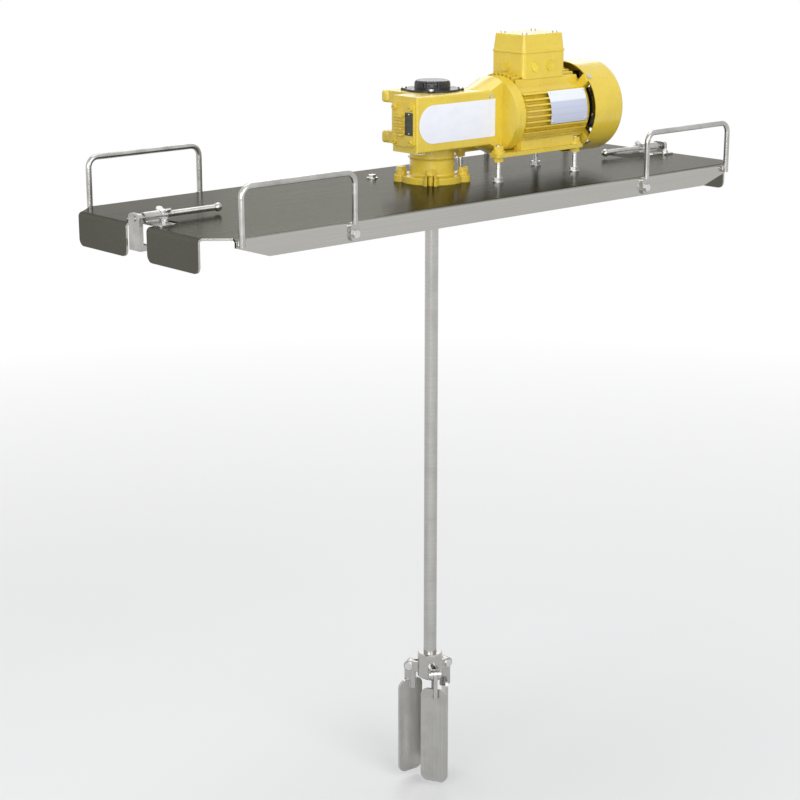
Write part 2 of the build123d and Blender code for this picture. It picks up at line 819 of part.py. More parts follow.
# ---- drive: gear housing ----
def gear_housing():
    """Casting: worm case, finned wheel side with lugs, and the bell that takes the motor."""
    case = block(case_left, case_right, case_front, case_back, case_bottom, case_top)
    case = fillet(case.edges().filter_by(Axis.Z) + case.edges().filter_by(Axis.X), case_edge)
    body = case + bar_z(core_radius, case_bottom, case_top)
    for low in (case_bottom + side_rise, case_top - side_plate):
        high = low + side_plate
        body = body + block(-wheel_side, wheel_side, wheel_front, wheel_side, low, high)
        for x in (-lug_centre, lug_centre):
            lug = bar_z(lug_radius, low, high, x, lug_centre)
            body = body + fillet(lug.edges().filter_by(GeomType.CIRCLE), lug_edge)
    square = block(-wheel_side, wheel_side, wheel_front, wheel_side, case_bottom, case_top)
    for z in fin_heights():
        body = body + (bar_z(fin_reach, z - fin_thick / 2, z + fin_thick / 2) & square)
    body = body + bell()
    return body - housing_room()


def fin_heights():
    """Levels of the four cooling fins."""
    return [axis_z + (i - 1.5) * fin_pitch for i in range(4)]


def bell():
    """Cone and flange round the motor axis, flat at the front of the case."""
    rise = Pos((bell_start + bell_end) / 2, motor_y, axis_z) * Rot(0, 90, 0)
    cone = rise * Cone(bell_small, bell_radius, bell_end - bell_start)
    cone = cone & block(bell_start - 1, bell_end + 1, case_front, 200, -100, 300)
    return cone + bar_x(bell_radius, bell_end, motor_start, motor_y, axis_z)


def housing_room():
    """Everything hollow inside the casting."""
    far = worm_right_seat + worm_bearing_width + output_seal_width + 1
    return [
        bar_z(wheel_room, case_bottom + case_wall, case_top + 1),
        bar_z(cover_radius, case_top - cover_thick, case_top + 1),
        bar_z(barrel_radius - spigot_step, case_bottom - 1, case_bottom + case_wall + 1),
        bar_x(worm_room, worm_left_seat, far, motor_y, axis_z),
        bar_x(worm_bearing_radius, case_left - 1, worm_left_seat + worm_bearing_width, motor_y, axis_z),
        bar_x(worm_bearing_radius, worm_right_seat, far, motor_y, axis_z),
        bar_x(bell_room, far, motor_start + 1, motor_y, axis_z),
        front_screw_place() * bar_z(front_screw, -cap_screw_depth, 1),
        *[place * bar_z(plug_thread, -plug_length, 1) for place in oil_plug_places()],
        *[bar_z(cap_screw, case_top - cap_screw_depth, case_top + 1, x, y) for x, y in cap_ears()],
    ]


def oil_plug_places():
    """Drain plug below the worm case and level plug at the back, as frames with Z outwards."""
    drain = Pos(case_left + drain_inset, motor_y, case_bottom) * Rot(180, 0, 0)
    return [drain, Pos(0, wheel_side, case_top - side_plate / 2) * Rot(-90, 0, 0)]


def oil_plugs():
    """Hexagon plugs with their threads."""
    plug = hexagon_z(2 * plug_radius, 0, plug_head) + bar_z(plug_thread, -plug_length, 0)
    return [place * plug for place in oil_plug_places()]


def worm_end_cover():
    """Cover over the left worm bearing: flat in front for the type plate, finned behind it."""
    y, z = end_cover_width / 2, end_cover_height / 2
    face = case_left - end_cover_thick
    cover = block(face, case_left, motor_y - y, motor_y + y, axis_z - z, axis_z + z)
    cover = fillet(cover.edges().filter_by(Axis.X), end_cover_corner)
    for level in fin_heights():
        fin = block(face - end_fin_depth, face, end_fin_front, end_fin_front + end_fin_length,
                    level - fin_thick / 2, level + fin_thick / 2)
        cover = cover + fillet(fin.edges().filter_by(Axis.Z).group_by(Axis.X)[0], fin_thick / 2)
    return cover - [bar_x(end_cover_hole, face - 5, case_left + 1, y, z) for y, z in end_cover_screws()]


def end_cover_screws():
    """Screw places of the end cover, as Y and Z."""
    y, z = end_cover_width / 2 - end_cover_margin, end_cover_height / 2 - end_cover_margin
    return [(motor_y + a * y, axis_z + b * z) for a in (-1, 1) for b in (-1, 1)]


def top_screws():
    """Screw places of the top cover."""
    return around(6, (cover_radius + cover_hub) / 2, 30)


def gearbox_screws():
    """Screws of the end cover and the top cover."""
    face = case_left - end_cover_thick
    pieces = [Pos(face, y, z) * Rot(0, -90, 0) * screw(*end_cover_screw) for y, z in end_cover_screws()]
    return pieces + [bar_z(top_screw, case_top - top_screw_depth, case_top, x, y) for x, y in top_screws()]


def type_plate():
    """Small grey plate on the end cover, beside its fins."""
    face = case_left - end_cover_thick
    y = motor_y - end_cover_width / 2 + type_plate_inset
    return block(face - type_plate_thick, face, y, y + type_plate_width, axis_z + type_plate_low,
                 axis_z + type_plate_high)


def gear_label():
    """Blank label on the front of the case, round at its left end."""
    start = case_left + label_inset
    radius = label_height / 2
    label = block(start + radius, start + label_length, case_front - label_thick, case_front,
                  axis_z - radius, axis_z + radius)
    return label + bar_y(radius, case_front - label_thick, case_front, start + radius, axis_z)


def top_cover():
    """Bearing cover in the top of the case."""
    cover = bar_z(cover_radius, case_top - cover_thick, case_top)
    shoulder = upper_bearing_z() - seat_shoulder
    cover = cover + bar_z(cover_hub, shoulder, case_top)
    cover = cover - bar_z(output_bearing_radius, upper_bearing_z(), case_top + 1)
    cover = cover - bar_z(output_bearing_radius - seat_shoulder, shoulder - 1, case_top + 1)
    return cover - [bar_z(top_screw, case_top - top_screw_depth, case_top + 1, x, y) for x, y in top_screws()]


def cap_ears():
    """Screw ears of the cap."""
    return around(4, cap_ear_circle, 45)


def bore_cap():
    """Black cap over the bore of the output shaft."""
    brim = bar_z(cap_brim, case_top, case_top + cap_brim_thick)
    for x, y in cap_ears():
        brim = brim + bar_z(cap_ear, case_top, case_top + cap_brim_thick, x, y)
    dome = bar_z(cap_radius, case_top, case_top + cap_height)
    dome = eased(dome, cap_edge)
    for x, y in around(cap_grips, cap_radius, 180 / cap_grips):
        dome = dome - bar_z(cap_grip, case_top + 2 * cap_brim_thick, case_top + cap_height + 1, x, y)
    room = bar_z(cap_radius - 2 * cap_wall, case_top - 1, case_top + cap_height - cap_wall)
    cap = brim + dome - room
    return cap - [bar_z(cap_screw, case_top - 1, case_top + 2 * cap_brim_thick, x, y) for x, y in cap_ears()]


def cap_screws():
    """Screws of the cap's ears, and the screw at the right of the label."""
    top = case_top + cap_brim_thick
    length = cap_brim_thick + cap_screw_depth
    screws = [Pos(x, y, top) * screw(cap_screw, length, *cap_screw_head) for x, y in cap_ears()]
    return screws + [front_screw_place() * screw(front_screw, cap_screw_depth, *front_screw_head)]


def front_screw_place():
    """Frame of the small screw above the label, with Z outwards."""
    return Pos(case_right - front_screw_inset, case_front, case_top - front_screw_drop) * Rot(90, 0, 0)


# ---- motor ----
def motor_front_shield():
    """Front shield with the bearing seat."""
    shield = bar_x(shield_radius, motor_start, housing_start, motor_y, axis_z)
    shield = fillet(shield.edges().filter_by(GeomType.CIRCLE).group_by(Axis.X)[-1], cast_edge)
    shield = shield + bar_x(motor_bearing_radius + seat_wall, motor_start,
                            front_bearing_x() + motor_bearing_width, motor_y, axis_z)
    shield = shield - bar_x(motor_bearing_radius, front_bearing_x(), housing_start + 20, motor_y, axis_z)
    shield = shield - bar_x(coupling_radius + 1, motor_start - 1, front_bearing_x() - 1, motor_y, axis_z)
    return shield - bar_x(shaft_radius + shaft_gap, motor_start - 1, housing_start, motor_y, axis_z)


def front_bearing_x():
    """Left face of the front motor bearing."""
    return motor_start + front_seat


def rear_bearing_x():
    """Left face of the rear motor bearing."""
    return housing_end - rear_seat


def motor_bearings():
    """Bearings at both ends of the rotor."""
    bearing = ball_bearing(motor_bearing_radius, shaft_radius + fit, motor_bearing_width)
    turn = Pos(0, motor_y, axis_z) * Rot(0, 90, 0)
    return (placed(Pos(front_bearing_x(), 0, 0) * turn, bearing)
            + placed(Pos(rear_bearing_x(), 0, 0) * turn, bearing))


def foot_rail(side):
    """Foot rail with a pad at each end and its web under the housing."""
    y = motor_y + side * foot_offset
    half = foot_width / 2
    rail = block(foot_start, foot_end, y - half, y + half, foot_z, foot_z + foot_thick)
    rail = fillet(rail.edges().filter_by(Axis.Z), foot_corner)
    for x in (stud_left, stud_right):
        rail = rail + bar_z(half, foot_z, foot_top(), x, y)
    web = block(housing_start, housing_end, y - foot_web / 2, y + foot_web / 2, foot_z, axis_z)
    return rail + web


def foot_top():
    """Top of the pads of the foot rails."""
    return foot_z + foot_thick + foot_pad


def stud_top():
    """Upper end of the motor studs."""
    return foot_top() + washer_thick + nut_height + stud_over


def motor_housing():
    """Finned stator housing with its two foot rails."""
    axis = Pos(0, motor_y, axis_z)
    span = (housing_start, housing_end)
    hull = bar_x(motor_radius, *span)
    rows = int(fin_band / motor_fin_pitch)
    fins = []
    for i in range(-rows, rows + 1):
        offset = i * motor_fin_pitch
        low, high = offset - motor_fin / 2, offset + motor_fin / 2
        fins.append(block(*span, -motor_radius, motor_radius, low, high) & hull)
        fins.append(block(*span, low, high, -motor_radius, motor_radius) & hull)
    body = joined(axis * bar_x(motor_core, *span), *[axis * fin for fin in fins])
    body = joined(body, foot_rail(-1), foot_rail(1))
    body = body - axis * bar_x(motor_bore, span[0] - 1, span[1] + 1)
    bottom = box_room_bottom()
    box_end = box_start + box_length
    body = body - block(box_start, box_end, motor_y - box_half, motor_y + box_half, bottom, axis_z + 90)
    pockets = [bar_z(washer_radius + 1, foot_top(), stud_top() + 1, x, y) for x, y in stud_places()]
    holes = [bar_z(stud_radius + stud_gap, foot_z - 1, foot_top(), x, y) for x, y in stud_places()]
    return body - pockets - holes


def box_room_bottom():
    """Flat on top of the housing, under the terminal box."""
    return axis_z + motor_core + box_seat


def motor_rear_shield():
    """Rear shield with the bearing seat and four arms for the cowl."""
    end = housing_end + rear_thick
    axis = Pos(0, motor_y, axis_z)
    start = rear_bearing_x() - 2
    shield = bar_x(motor_core, housing_end, end) + bar_x(motor_bearing_radius + seat_wall, start, end)
    reach = cowl_radius - cowl_wall
    half = arm_width / 2
    arm = block(cowl_start - arm_before, cowl_start + arm_after, -half, half, arm_root, reach + 2)
    shield = shield + cowl_turned(arm)
    shield = shield & bar_x(reach, start, cowl_start + arm_after)
    shield = shield - bar_x(motor_bearing_radius, start - 1, rear_bearing_x() + motor_bearing_width)
    shield = shield - bar_x(shaft_radius + shaft_gap, start - 1, end + 1)
    hole = bar_z(cowl_screw[0], reach - cowl_screw[1], reach + 5, cowl_start + cowl_screw_inset)
    return axis * (shield - cowl_turned(hole))


def cowl_turned(shape):
    """Four copies of a shape round the X axis, at the arms of the rear shield."""
    return [Rot(45 + 90 * i, 0, 0) * shape for i in range(4)]


def stator_core():
    """Laminated stator ring with open slots at its bore."""
    end = stator_start + stator_length
    ring = tube_x(motor_bore, rotor_radius + air_gap, stator_start, end)
    half = slot_width / 2
    slot = block(stator_start - 1, end + 1, -half, half, rotor_radius, slot_reach)
    ring = ring - [Rot(360 / stator_slots * i, 0, 0) * slot for i in range(stator_slots)]
    return Pos(0, motor_y, axis_z) * ring


def stator_windings():
    """End turns of the windings on both sides of the core."""
    end = stator_start + stator_length
    front = tube_x(winding_outer, winding_inner, stator_start - winding_length, stator_start)
    back = tube_x(winding_outer, winding_inner, end, end + winding_length)
    turns = []
    for ring, face in ((front, 0), (back, -1)):
        edges = ring.edges().filter_by(GeomType.CIRCLE).group_by(Axis.X)[face]
        turns.append(Pos(0, motor_y, axis_z) * fillet(edges, winding_edge))
    return turns


def rotor_core():
    """Rotor stack with its end rings."""
    end = stator_start + stator_length
    core = bar_x(rotor_radius, stator_start, end)
    core = core + bar_x(rotor_radius - end_ring_step, stator_start - end_ring, end + end_ring)
    core = core - bar_x(shaft_radius, stator_start - end_ring - 1, end + end_ring + 1)
    return Pos(0, motor_y, axis_z) * core


def motor_shaft():
    """Stepped motor shaft from the coupling to the fan."""
    seat = front_bearing_x() - shaft_gap
    fan_end = fan_start + fan_depth + fan_tail
    rear = housing_end + rear_thick + 2
    shaft = bar_x(coupling_shaft, shaft_break + shaft_gap, seat) + bar_x(shaft_radius, seat, rear)
    shaft = shaft + bar_x(coupling_shaft, rear, fan_end)
    return Pos(0, motor_y, axis_z) * shaft


def cooling_fan():
    """Radial fan on the tail of the motor shaft."""
    fan = bar_x(fan_hub, fan_start, fan_start + fan_depth) + bar_x(fan_disc, fan_start, fan_start + fan_sheet)
    half = fan_sheet / 2
    blade = block(fan_start, fan_start + fan_depth, -half, half, fan_hub - 3, fan_radius)
    for i in range(fan_blades):
        fan = fan + Rot(360 / fan_blades * i, 0, 0) * blade
    return Pos(0, motor_y, axis_z) * (fan - bar_x(coupling_shaft, fan_start - 1, fan_start + fan_depth + 1))


def fan_cowl():
    """Sheet cowl with rings of air holes in its end."""
    end = cowl_start + cowl_length
    outer = bar_x(cowl_radius, cowl_start, end)
    outer = fillet(outer.edges().filter_by(GeomType.CIRCLE).group_by(Axis.X)[-1], cowl_edge)
    inner = bar_x(cowl_radius - cowl_wall, cowl_start - 1, end - cowl_wall)
    inner = fillet(inner.edges().filter_by(GeomType.CIRCLE).group_by(Axis.X)[-1], cowl_edge - cowl_wall)
    cowl = outer - inner
    holes = [bar_x(air_hole, end - 5, end + 1, y, z) for count, radius in air_rings
             for y, z in around(count, radius)]
    holes += cowl_turned(bar_z(cowl_screw_hole, cowl_radius - 5, cowl_radius + 3, cowl_start + cowl_screw_inset))
    return Pos(0, motor_y, axis_z) * (cowl - holes)


def cowl_screws():
    """Four screws that hold the cowl to the arms of the rear shield."""
    piece = Pos(cowl_start + cowl_screw_inset, 0, cowl_radius) * screw(*cowl_screw)
    return placed(Pos(0, motor_y, axis_z), cowl_turned(piece))


# ---- terminal box ----
def terminal_box():
    """Box base that sits astride the motor housing."""
    end = box_start + box_length
    low = axis_z + box_rise
    high = axis_z + box_split
    base = block(box_start, end, motor_y - box_half, motor_y + box_half, low, high)
    base = fillet(base.edges().filter_by(Axis.Z), box_corner)
    base = base - block(box_start + box_wall, end - box_wall, motor_y - box_half + box_wall,
                        motor_y + box_half - box_wall, box_room_bottom() + box_wall, high + 1)
    saddle = bar_x(motor_radius + box_gap, box_start - 1, end + 1, motor_y, axis_z)
    flat = block(box_start - 1, end + 1, motor_y - box_half - 1, motor_y + box_half + 1,
                 box_room_bottom(), high + 9)
    base = base - (saddle - flat)
    return base - [place * bar_z(entry_radius, -box_wall - 1, 1) for place in blank_places()]


def blank_places():
    """Cable entries: two in front, one on the left, as frames with Z outwards."""
    z = axis_z + motor_radius + blank_rise
    middle = box_start + box_length / 2 - entry_offset[0]
    front = [Pos(middle + side * plug_pitch / 2, motor_y - box_half, z) * Rot(90, 0, 0) for side in (-1, 1)]
    return front + [Pos(box_start, motor_y + entry_offset[1], z) * Rot(0, -90, 0)]


def blanking_plugs():
    """Blanking plugs in the cable entries."""
    plug = bar_z(blank_radius, 0, blank_thick) + bar_z(entry_radius, -box_wall, 0)
    plug = plug - bar_z(blank_radius - blank_rim, blank_thick - blank_sink, blank_thick + 1)
    return [place * plug for place in blank_places()]


def terminal_cover():
    """Drafted cover of the terminal box."""
    low = axis_z + box_split
    width = 2 * box_half
    height = box_top - box_split
    face = Pos(box_start + box_length / 2, motor_y, low) * RectangleRounded(box_length, width, box_corner)
    cover = extrude(face, height, taper=box_draft)
    inner = Pos(box_start + box_length / 2, motor_y, low - 0.01)
    inner = inner * RectangleRounded(box_length - 2 * box_wall, width - 2 * box_wall, box_corner - box_wall)
    room = extrude(inner, height - box_wall, taper=box_draft)
    cover = fillet(cover.faces().sort_by(Axis.Z)[-1].edges(), cover_edge)
    cover = cover - room
    return cover - [bar_z(cover_screw_hole, low - 1, axis_z + box_top + 1, x, y) for x, y in cover_screws()]


def cover_screws():
    """Screw places of the terminal cover."""
    x = box_length / 2 - cover_screw_inset[0]
    y = box_half - cover_screw_inset[1]
    middle = box_start + box_length / 2
    return [(middle + a * x, motor_y + b * y) for a in (-1, 1) for b in (-1, 1)]


def terminal_screws():
    """Long cover screws, and the posts that they enter."""
    top = axis_z + box_top
    floor = box_room_bottom() + box_wall
    split = axis_z + box_split
    pieces = []
    for x, y in cover_screws():
        pieces.append(Pos(x, y, top) * screw(cover_screw, top - split + 8, *cover_screw_head))
        pieces.append(tube_z(post_radius, cover_screw, floor, split, x, y))
    return pieces


def terminal_block():
    """Terminal board with its six studs."""
    floor = box_room_bottom() + box_wall
    middle = box_start + box_length / 2
    x, y = board_half
    board = block(middle - x, middle + x, motor_y - y, motor_y + y, floor, floor + board_height)
    for a in (-1, 0, 1):
        for b in (-1, 1):
            place = (middle + a * board_studs[0], motor_y + b * board_studs[1])
            board = board + bar_z(board_stud, floor + board_height - 1, floor + board_stud_top, *place)
    return board


def motor_plate():
    """Blank plate bent round the front of the motor."""
    end = plate_start + plate_length
    ring = tube_x(motor_radius + plate_gap + plate_thick, motor_radius + plate_gap, plate_start, end)
    low, high = radians(plate_low), radians(plate_high)
    far = 3 * motor_radius
    corners = [(0, 0, 0), (0, -far * cos(low), far * sin(low)), (0, -far * cos(high), far * sin(high))]
    wedge = Pos(plate_start - 1, 0, 0) * extrude(make_face(Polyline(*corners, close=True)),
                                                plate_length + 2, dir=(1, 0, 0))
    return Pos(0, motor_y, axis_z) * (ring & wedge)


# ---- motor studs ----
def support_studs():
    """Threaded studs between the plate and the foot rails."""
    return [bar_z(stud_radius, -stud_tail, stud_top(), x, y) for x, y in stud_places()]


def support_nuts():
    """Nuts and washers: under and on the plate, under and on each foot."""
    pieces = []
    for x, y in stud_places():
        for low, up in ((0, -1), (sheet, 1), (foot_z, -1), (foot_top(), 1)):
            washer = sorted((low, low + up * washer_thick))
            nut = sorted((low + up * washer_thick, low + up * (washer_thick + nut_height)))
            pieces.append(tube_z(washer_radius, stud_radius, *washer, x, y))
            pieces.append(hex_nut(stud_radius, nut_flats, *nut, x, y))
    return pieces


# ---- agitator shaft and impeller ----
def agitator_shaft():
    """Solid shaft that plugs into the hollow shaft up to its collar."""
    top = hollow_top - stir_top_gap
    collar_top = sheet + hollow_start
    shaft = bar_z(stir_radius, stir_end, top)
    shaft = chamfer(shaft.edges().filter_by(GeomType.CIRCLE), stir_chamfer)
    shaft = shaft + bar_z(stir_collar, collar_top - stir_collar_length, collar_top)
    shaft = shaft - bar_z(bolt_eight, top - end_bolt_depth, top + 1)
    half = key_width / 2
    inner = stir_radius - key_height / 2
    return shaft - block(inner, 2 * stir_radius, -half, half, key_bottom(), key_bottom() + key_length)


def retaining_bolt():
    """Bolt and washer that draw the shaft up into the hollow shaft."""
    top = hollow_top
    head = top + end_washer
    washer = tube_z(hollow_radius, bolt_eight, top, head)
    low = top - stir_top_gap - end_bolt_depth + 2
    bolt = hexagon_z(nut_flats, head, head + head_eight) + bar_z(bolt_eight, low, head)
    return [washer, bolt]


def hub_frame(index):
    """Frame of one blade: origin on its hinge pin, X outwards, Y along the pin."""
    return Rot(0, 0, 360 / blade_count * index) * Pos(hinge_radius, 0, hub_height - hinge_drop)


def impeller_hub():
    """Hub with a pair of cheeks for each blade, and its two set screws."""
    low, high = hub_height - hub_length / 2, hub_height + hub_length / 2
    hub = bar_z(hub_radius, low, high)
    hub = chamfer(hub.edges().filter_by(GeomType.CIRCLE), hub_chamfer)
    inside = tang_thick / 2 + tang_gap
    cheek_start = hub_radius - hinge_radius - 3
    for i in range(blade_count):
        for side in (-1, 1):
            y0, y1 = sorted((side * inside, side * (inside + cheek_thick)))
            cheek = block(cheek_start, 0, y0, y1, -cheek_reach, cheek_reach) + bar_y(cheek_reach, y0, y1)
            hub = hub + hub_frame(i) * cheek
    holes = [hub_frame(i) * bar_y(pin_radius, -20, 20) for i in range(blade_count)]
    hub = hub - holes - bar_z(stir_radius, low - 1, high + 1)
    screws = []
    for rise in grub_rises:
        grub = Pos(0, 0, hub_height + rise) * Rot(0, 0, 180 / blade_count) * bar_x(grub_radius, stir_radius, grub_end)
        hub = hub - grub
        screws.append(grub)
    return [hub] + screws


def hinge_pins():
    """Pins of the blades, with a head at each end."""
    half = tang_thick / 2 + tang_gap + cheek_thick
    pin = bar_y(pin_radius, -half, half)
    end = half + pin_head_thick
    pin = pin + bar_y(pin_head, half, end) + bar_y(pin_head, -end, -half)
    return [hub_frame(i) * pin for i in range(blade_count)]


def blade(index):
    """Folding blade, hanging: tang on the pin, then the pitched paddle."""
    half = tang_thick / 2
    tang = bar_y(tang_width / 2, -half, half)
    tang = tang + block(-tang_width / 2, tang_width / 2, -half, half, -blade_neck - tang_lap, 0)
    paddle = block(-blade_thick / 2, blade_thick / 2, -blade_width / 2, blade_width / 2,
                   -blade_length, -blade_neck)
    paddle = fillet(paddle.edges().filter_by(Axis.X), blade_corner)
    shape = tang + Rot(0, 0, -blade_pitch) * paddle
    return hub_frame(index) * (shape - bar_y(pin_radius + fit, -half - 1, half + 1))


def both_ends(make):
    """The same pieces at the motor end and, turned round, at the plain end."""
    pieces = make()
    return pieces + [Rot(0, 0, 180) * piece for piece in pieces]


def nodes():
    """Every sub-part by name."""
    parts = {"bridge_plate": bridge_plate(), "handle_fixings": handle_fixings(), "earth_bolt": earth_bolt()}
    for name_y, side_y in (("front", -1), ("back", 1)):
        for name_x, side_x in (("left", -1), ("right", 1)):
            parts[f"handle_{name_y}_{name_x}"] = handle(side_x, side_y)
    parts["guide_screws"] = both_ends(guide_screws)
    for name, turn in (("left", Rot(0, 0, 180)), ("right", Rot(0, 0, 0))):
        parts[f"latch_guide_{name}"] = turn * latch_guide()
        parts[f"hook_rod_{name}"] = [turn * piece for piece in hook_rod()]
        parts[f"wing_nut_{name}"] = turn * wing_nut()
    makers = [output_flange, flange_fixings, hollow_shaft, shaft_key, output_bearings, oil_seals, worm,
              worm_bearings, coupling_sleeve, wheel_rim, wheel_hub, gear_housing, oil_plugs, worm_end_cover,
              gearbox_screws, type_plate, gear_label, top_cover, bore_cap, cap_screws, motor_front_shield,
              motor_bearings, motor_housing, motor_rear_shield, stator_core, stator_windings, rotor_core,
              motor_shaft, cooling_fan, fan_cowl, cowl_screws, terminal_box, blanking_plugs, terminal_cover,
              terminal_screws, terminal_block, motor_plate, support_studs, support_nuts, agitator_shaft,
              retaining_bolt, impeller_hub, hinge_pins]
    for make in makers:
        made = make()
        parts[make.__name__] = [drive(p) for p in made] if isinstance(made, list) else drive(made)
    for i in range(blade_count):
        parts[f"blade_{i + 1}"] = drive(blade(i))
    return parts


os.makedirs("parts", exist_ok=True)
for node, shape in nodes().items():
    solids = shape if isinstance(shape, list) else [shape]
    flat = [solid for piece in solids for solid in piece.solids()]
    export_step(flat[0] if len(flat) == 1 else Compound(flat), f"parts/{node}.step")
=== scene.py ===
"""Finishes and small formed details of a portable tank agitator, laid out as an add-on.

The operators below give each of its nodes a finish, add what is too fine for the solids, such as threads,
weld beads, cast fillets and rivets, and set up the stage. Lengths are in metres, in the model's own
frame.
"""

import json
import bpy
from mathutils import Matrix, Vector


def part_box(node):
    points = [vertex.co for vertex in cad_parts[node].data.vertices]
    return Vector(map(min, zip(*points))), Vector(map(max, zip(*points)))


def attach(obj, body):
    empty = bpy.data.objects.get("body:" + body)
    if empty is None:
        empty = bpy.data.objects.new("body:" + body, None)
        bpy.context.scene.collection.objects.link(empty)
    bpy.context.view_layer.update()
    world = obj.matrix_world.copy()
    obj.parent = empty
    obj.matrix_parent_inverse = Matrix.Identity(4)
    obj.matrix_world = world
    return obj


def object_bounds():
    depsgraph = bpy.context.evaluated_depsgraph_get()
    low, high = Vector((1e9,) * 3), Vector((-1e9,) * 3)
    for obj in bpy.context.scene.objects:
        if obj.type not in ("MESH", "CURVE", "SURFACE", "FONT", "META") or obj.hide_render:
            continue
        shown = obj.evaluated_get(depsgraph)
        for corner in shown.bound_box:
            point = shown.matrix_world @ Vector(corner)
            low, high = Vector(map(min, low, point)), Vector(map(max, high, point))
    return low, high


bl_info = {
    "name": "Tank Agitator Dressing",
    "version": (1, 0, 0),
    "blender": (4, 5, 0),
    "location": "3D View > Sidebar > Agitator",
    "description": "Finishes, threads, welds, fillets and stage of a portable tank agitator",
    "category": "Object",
}

import bpy
import numpy as np
from mathutils import Vector

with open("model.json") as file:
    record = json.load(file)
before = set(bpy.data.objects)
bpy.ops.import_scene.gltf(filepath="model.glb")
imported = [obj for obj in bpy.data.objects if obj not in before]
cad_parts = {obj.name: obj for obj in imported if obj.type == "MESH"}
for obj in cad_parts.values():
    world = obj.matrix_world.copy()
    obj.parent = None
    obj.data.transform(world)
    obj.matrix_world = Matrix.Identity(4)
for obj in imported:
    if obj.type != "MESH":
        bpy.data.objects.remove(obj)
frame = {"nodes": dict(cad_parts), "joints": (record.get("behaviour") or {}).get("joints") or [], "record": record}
cad_low, cad_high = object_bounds()
TAU = 2 * np.pi
STATIC = "bridge_and_drive"
SLOT_OF = {part["node"]: part["material_slot"] for part in frame["record"]["subparts"]}
JOINT = {joint["name"]: joint for joint in frame["joints"]}
DRIVE_MIDDLE = (0.05, 0.0, 0.05)
BARREL_MIDDLE = (0.0, 0.0, 0.08)
LAMPS = (   # name, place, aim, width of the square, watts
    ("lamp_key", (-0.7, -3.2, 1.5), DRIVE_MIDDLE, 2.2, 50.0),
    ("lamp_left", (-3.3, -1.4, 0.9), DRIVE_MIDDLE, 1.8, 34.0),
    ("lamp_low", (-2.4, -2.3, 0.25), BARREL_MIDDLE, 0.9, 18.0),
    ("lamp_top", (0.2, 0.6, 3.2), DRIVE_MIDDLE, 2.4, 36.0),
    ("lamp_back", (2.6, 2.6, 1.9), DRIVE_MIDDLE, 1.8, 24.0),
)


# ---------------------------------------------------------------- settings
def metres(name, default, description):
    """Length property in metres."""
    return bpy.props.FloatProperty(name=name, description=description, default=default, min=0.0,
                                   precision=5, unit="LENGTH")


def share(name, default, description):
    """Factor property from 0 to 1."""
    return bpy.props.FloatProperty(name=name, description=description, default=default, min=0.0, max=1.0,
                                   subtype="FACTOR")


def colour(name, default, description):
    """Linear colour property."""
    return bpy.props.FloatVectorProperty(name=name, description=description, default=default, size=3,
                                         min=0.0, max=1.0, subtype="COLOR")


class AgitatorFinishSettings(bpy.types.PropertyGroup):
    """Colours and roughness of the finishes."""
    paint: colour("Paint", (0.73, 0.55, 0.050), "Enamel of the gearbox and motor")
    paint_worn: colour("Paint, aged", (0.60, 0.40, 0.030), "Darker tone in the paint's blotches")
    paint_rough: share("Paint roughness", 0.27, "Roughness of the enamel")
    # Painted light and shade: the flats' colour is a dark shaded copy of the sheet, standing in for the dark
    # reflection there, and the side flanges' colour is a pale lit copy, standing in for their bright reflection
    sheet_flat_painted_shade: colour("Sheet, flats", (0.105, 0.103, 0.088), "Stainless sheet on its wide flats and ends")
    sheet_side_painted_light: colour("Sheet, sides", (0.44, 0.435, 0.41), "Stainless sheet on its side flanges")
    sheet_rough: share("Sheet roughness", 0.18, "Roughness across the brushed sheet")
    wire: colour("Bright bar", (0.50, 0.495, 0.475), "Drawn stainless wire and bar")
    zinc: colour("Plated steel", (0.66, 0.665, 0.66), "Plated bolts, nuts and washers")
    machined: colour("Machined steel", (0.42, 0.42, 0.42), "Turned and ground steel")
    plastic: colour("Black plastic", (0.012, 0.012, 0.014), "Moulded cap and fan")
    label: colour("Label", (0.84, 0.86, 0.92), "Blank label film")
    silver: colour("Motor plate", (0.56, 0.60, 0.74), "Printed field of the motor's plate")
    grey: colour("Type plate", (0.105, 0.112, 0.100), "Anodised type plate")


class AgitatorDetailSettings(bpy.types.PropertyGroup):
    """Sizes of the formed details."""
    thread_pitch: metres("Thread pitch", 0.00125, "Pitch of the studs and hook rods")
    thread_radius: metres("Thread radius", 0.0040, "Radius at the roots of the shown thread")
    thread_depth: metres("Thread depth", 0.00022, "How far the thread's crests stand out")
    slide_room: metres("Slide room", 0.0170, "Plain rod left between the thread and the guide")
    weld_radius: metres("Weld radius", 0.0016, "Half width of a weld bead")
    weld_ripple: metres("Weld ripple", 0.0019, "Distance between the ripples of a bead")
    barrel_radius: metres("Barrel radius", 0.0325, "Radius of the cast barrel under the gearbox")
    fillet_radius: metres("Cast fillet", 0.0040, "Radius of the fillets on the cast barrel")
    flange_thick: metres("Flange thickness", 0.0100, "Thickness of the flange under the barrel")
    rivet_radius: metres("Rivet radius", 0.0016, "Radius of the plates' drive rivets")
    rim_height: metres("Cover rim height", 0.0040, "Height of the lip round the terminal cover")
    rim_reach: metres("Cover rim reach", 0.0011, "How far the lip stands out")


class AgitatorStageSettings(bpy.types.PropertyGroup):
    """Floor, lamps and camera."""
    floor_gap: metres("Floor gap", 0.012, "Air between the blade tips and the floor")
    floor_radius: metres("Floor radius", 9.0, "Radius of the floor")
    floor: colour("Floor", (0.80, 0.80, 0.80), "Pale floor")
    sky: share("Surround light", 0.54, "Strength of the even surrounding light")
    camera_place: bpy.props.FloatVectorProperty(name="Camera", description="Place of the camera", size=3,
                                                default=(-1.922, -2.080, 0.448), unit="LENGTH")
    camera_aim: bpy.props.FloatVectorProperty(name="Aim", description="Point that the camera faces", size=3,
                                              default=(-0.028, 0.029, -0.321), unit="LENGTH")
    camera_lens: bpy.props.FloatProperty(name="Lens", description="Focal length on a 36 mm frame",
                                         default=89.0, unit="CAMERA")


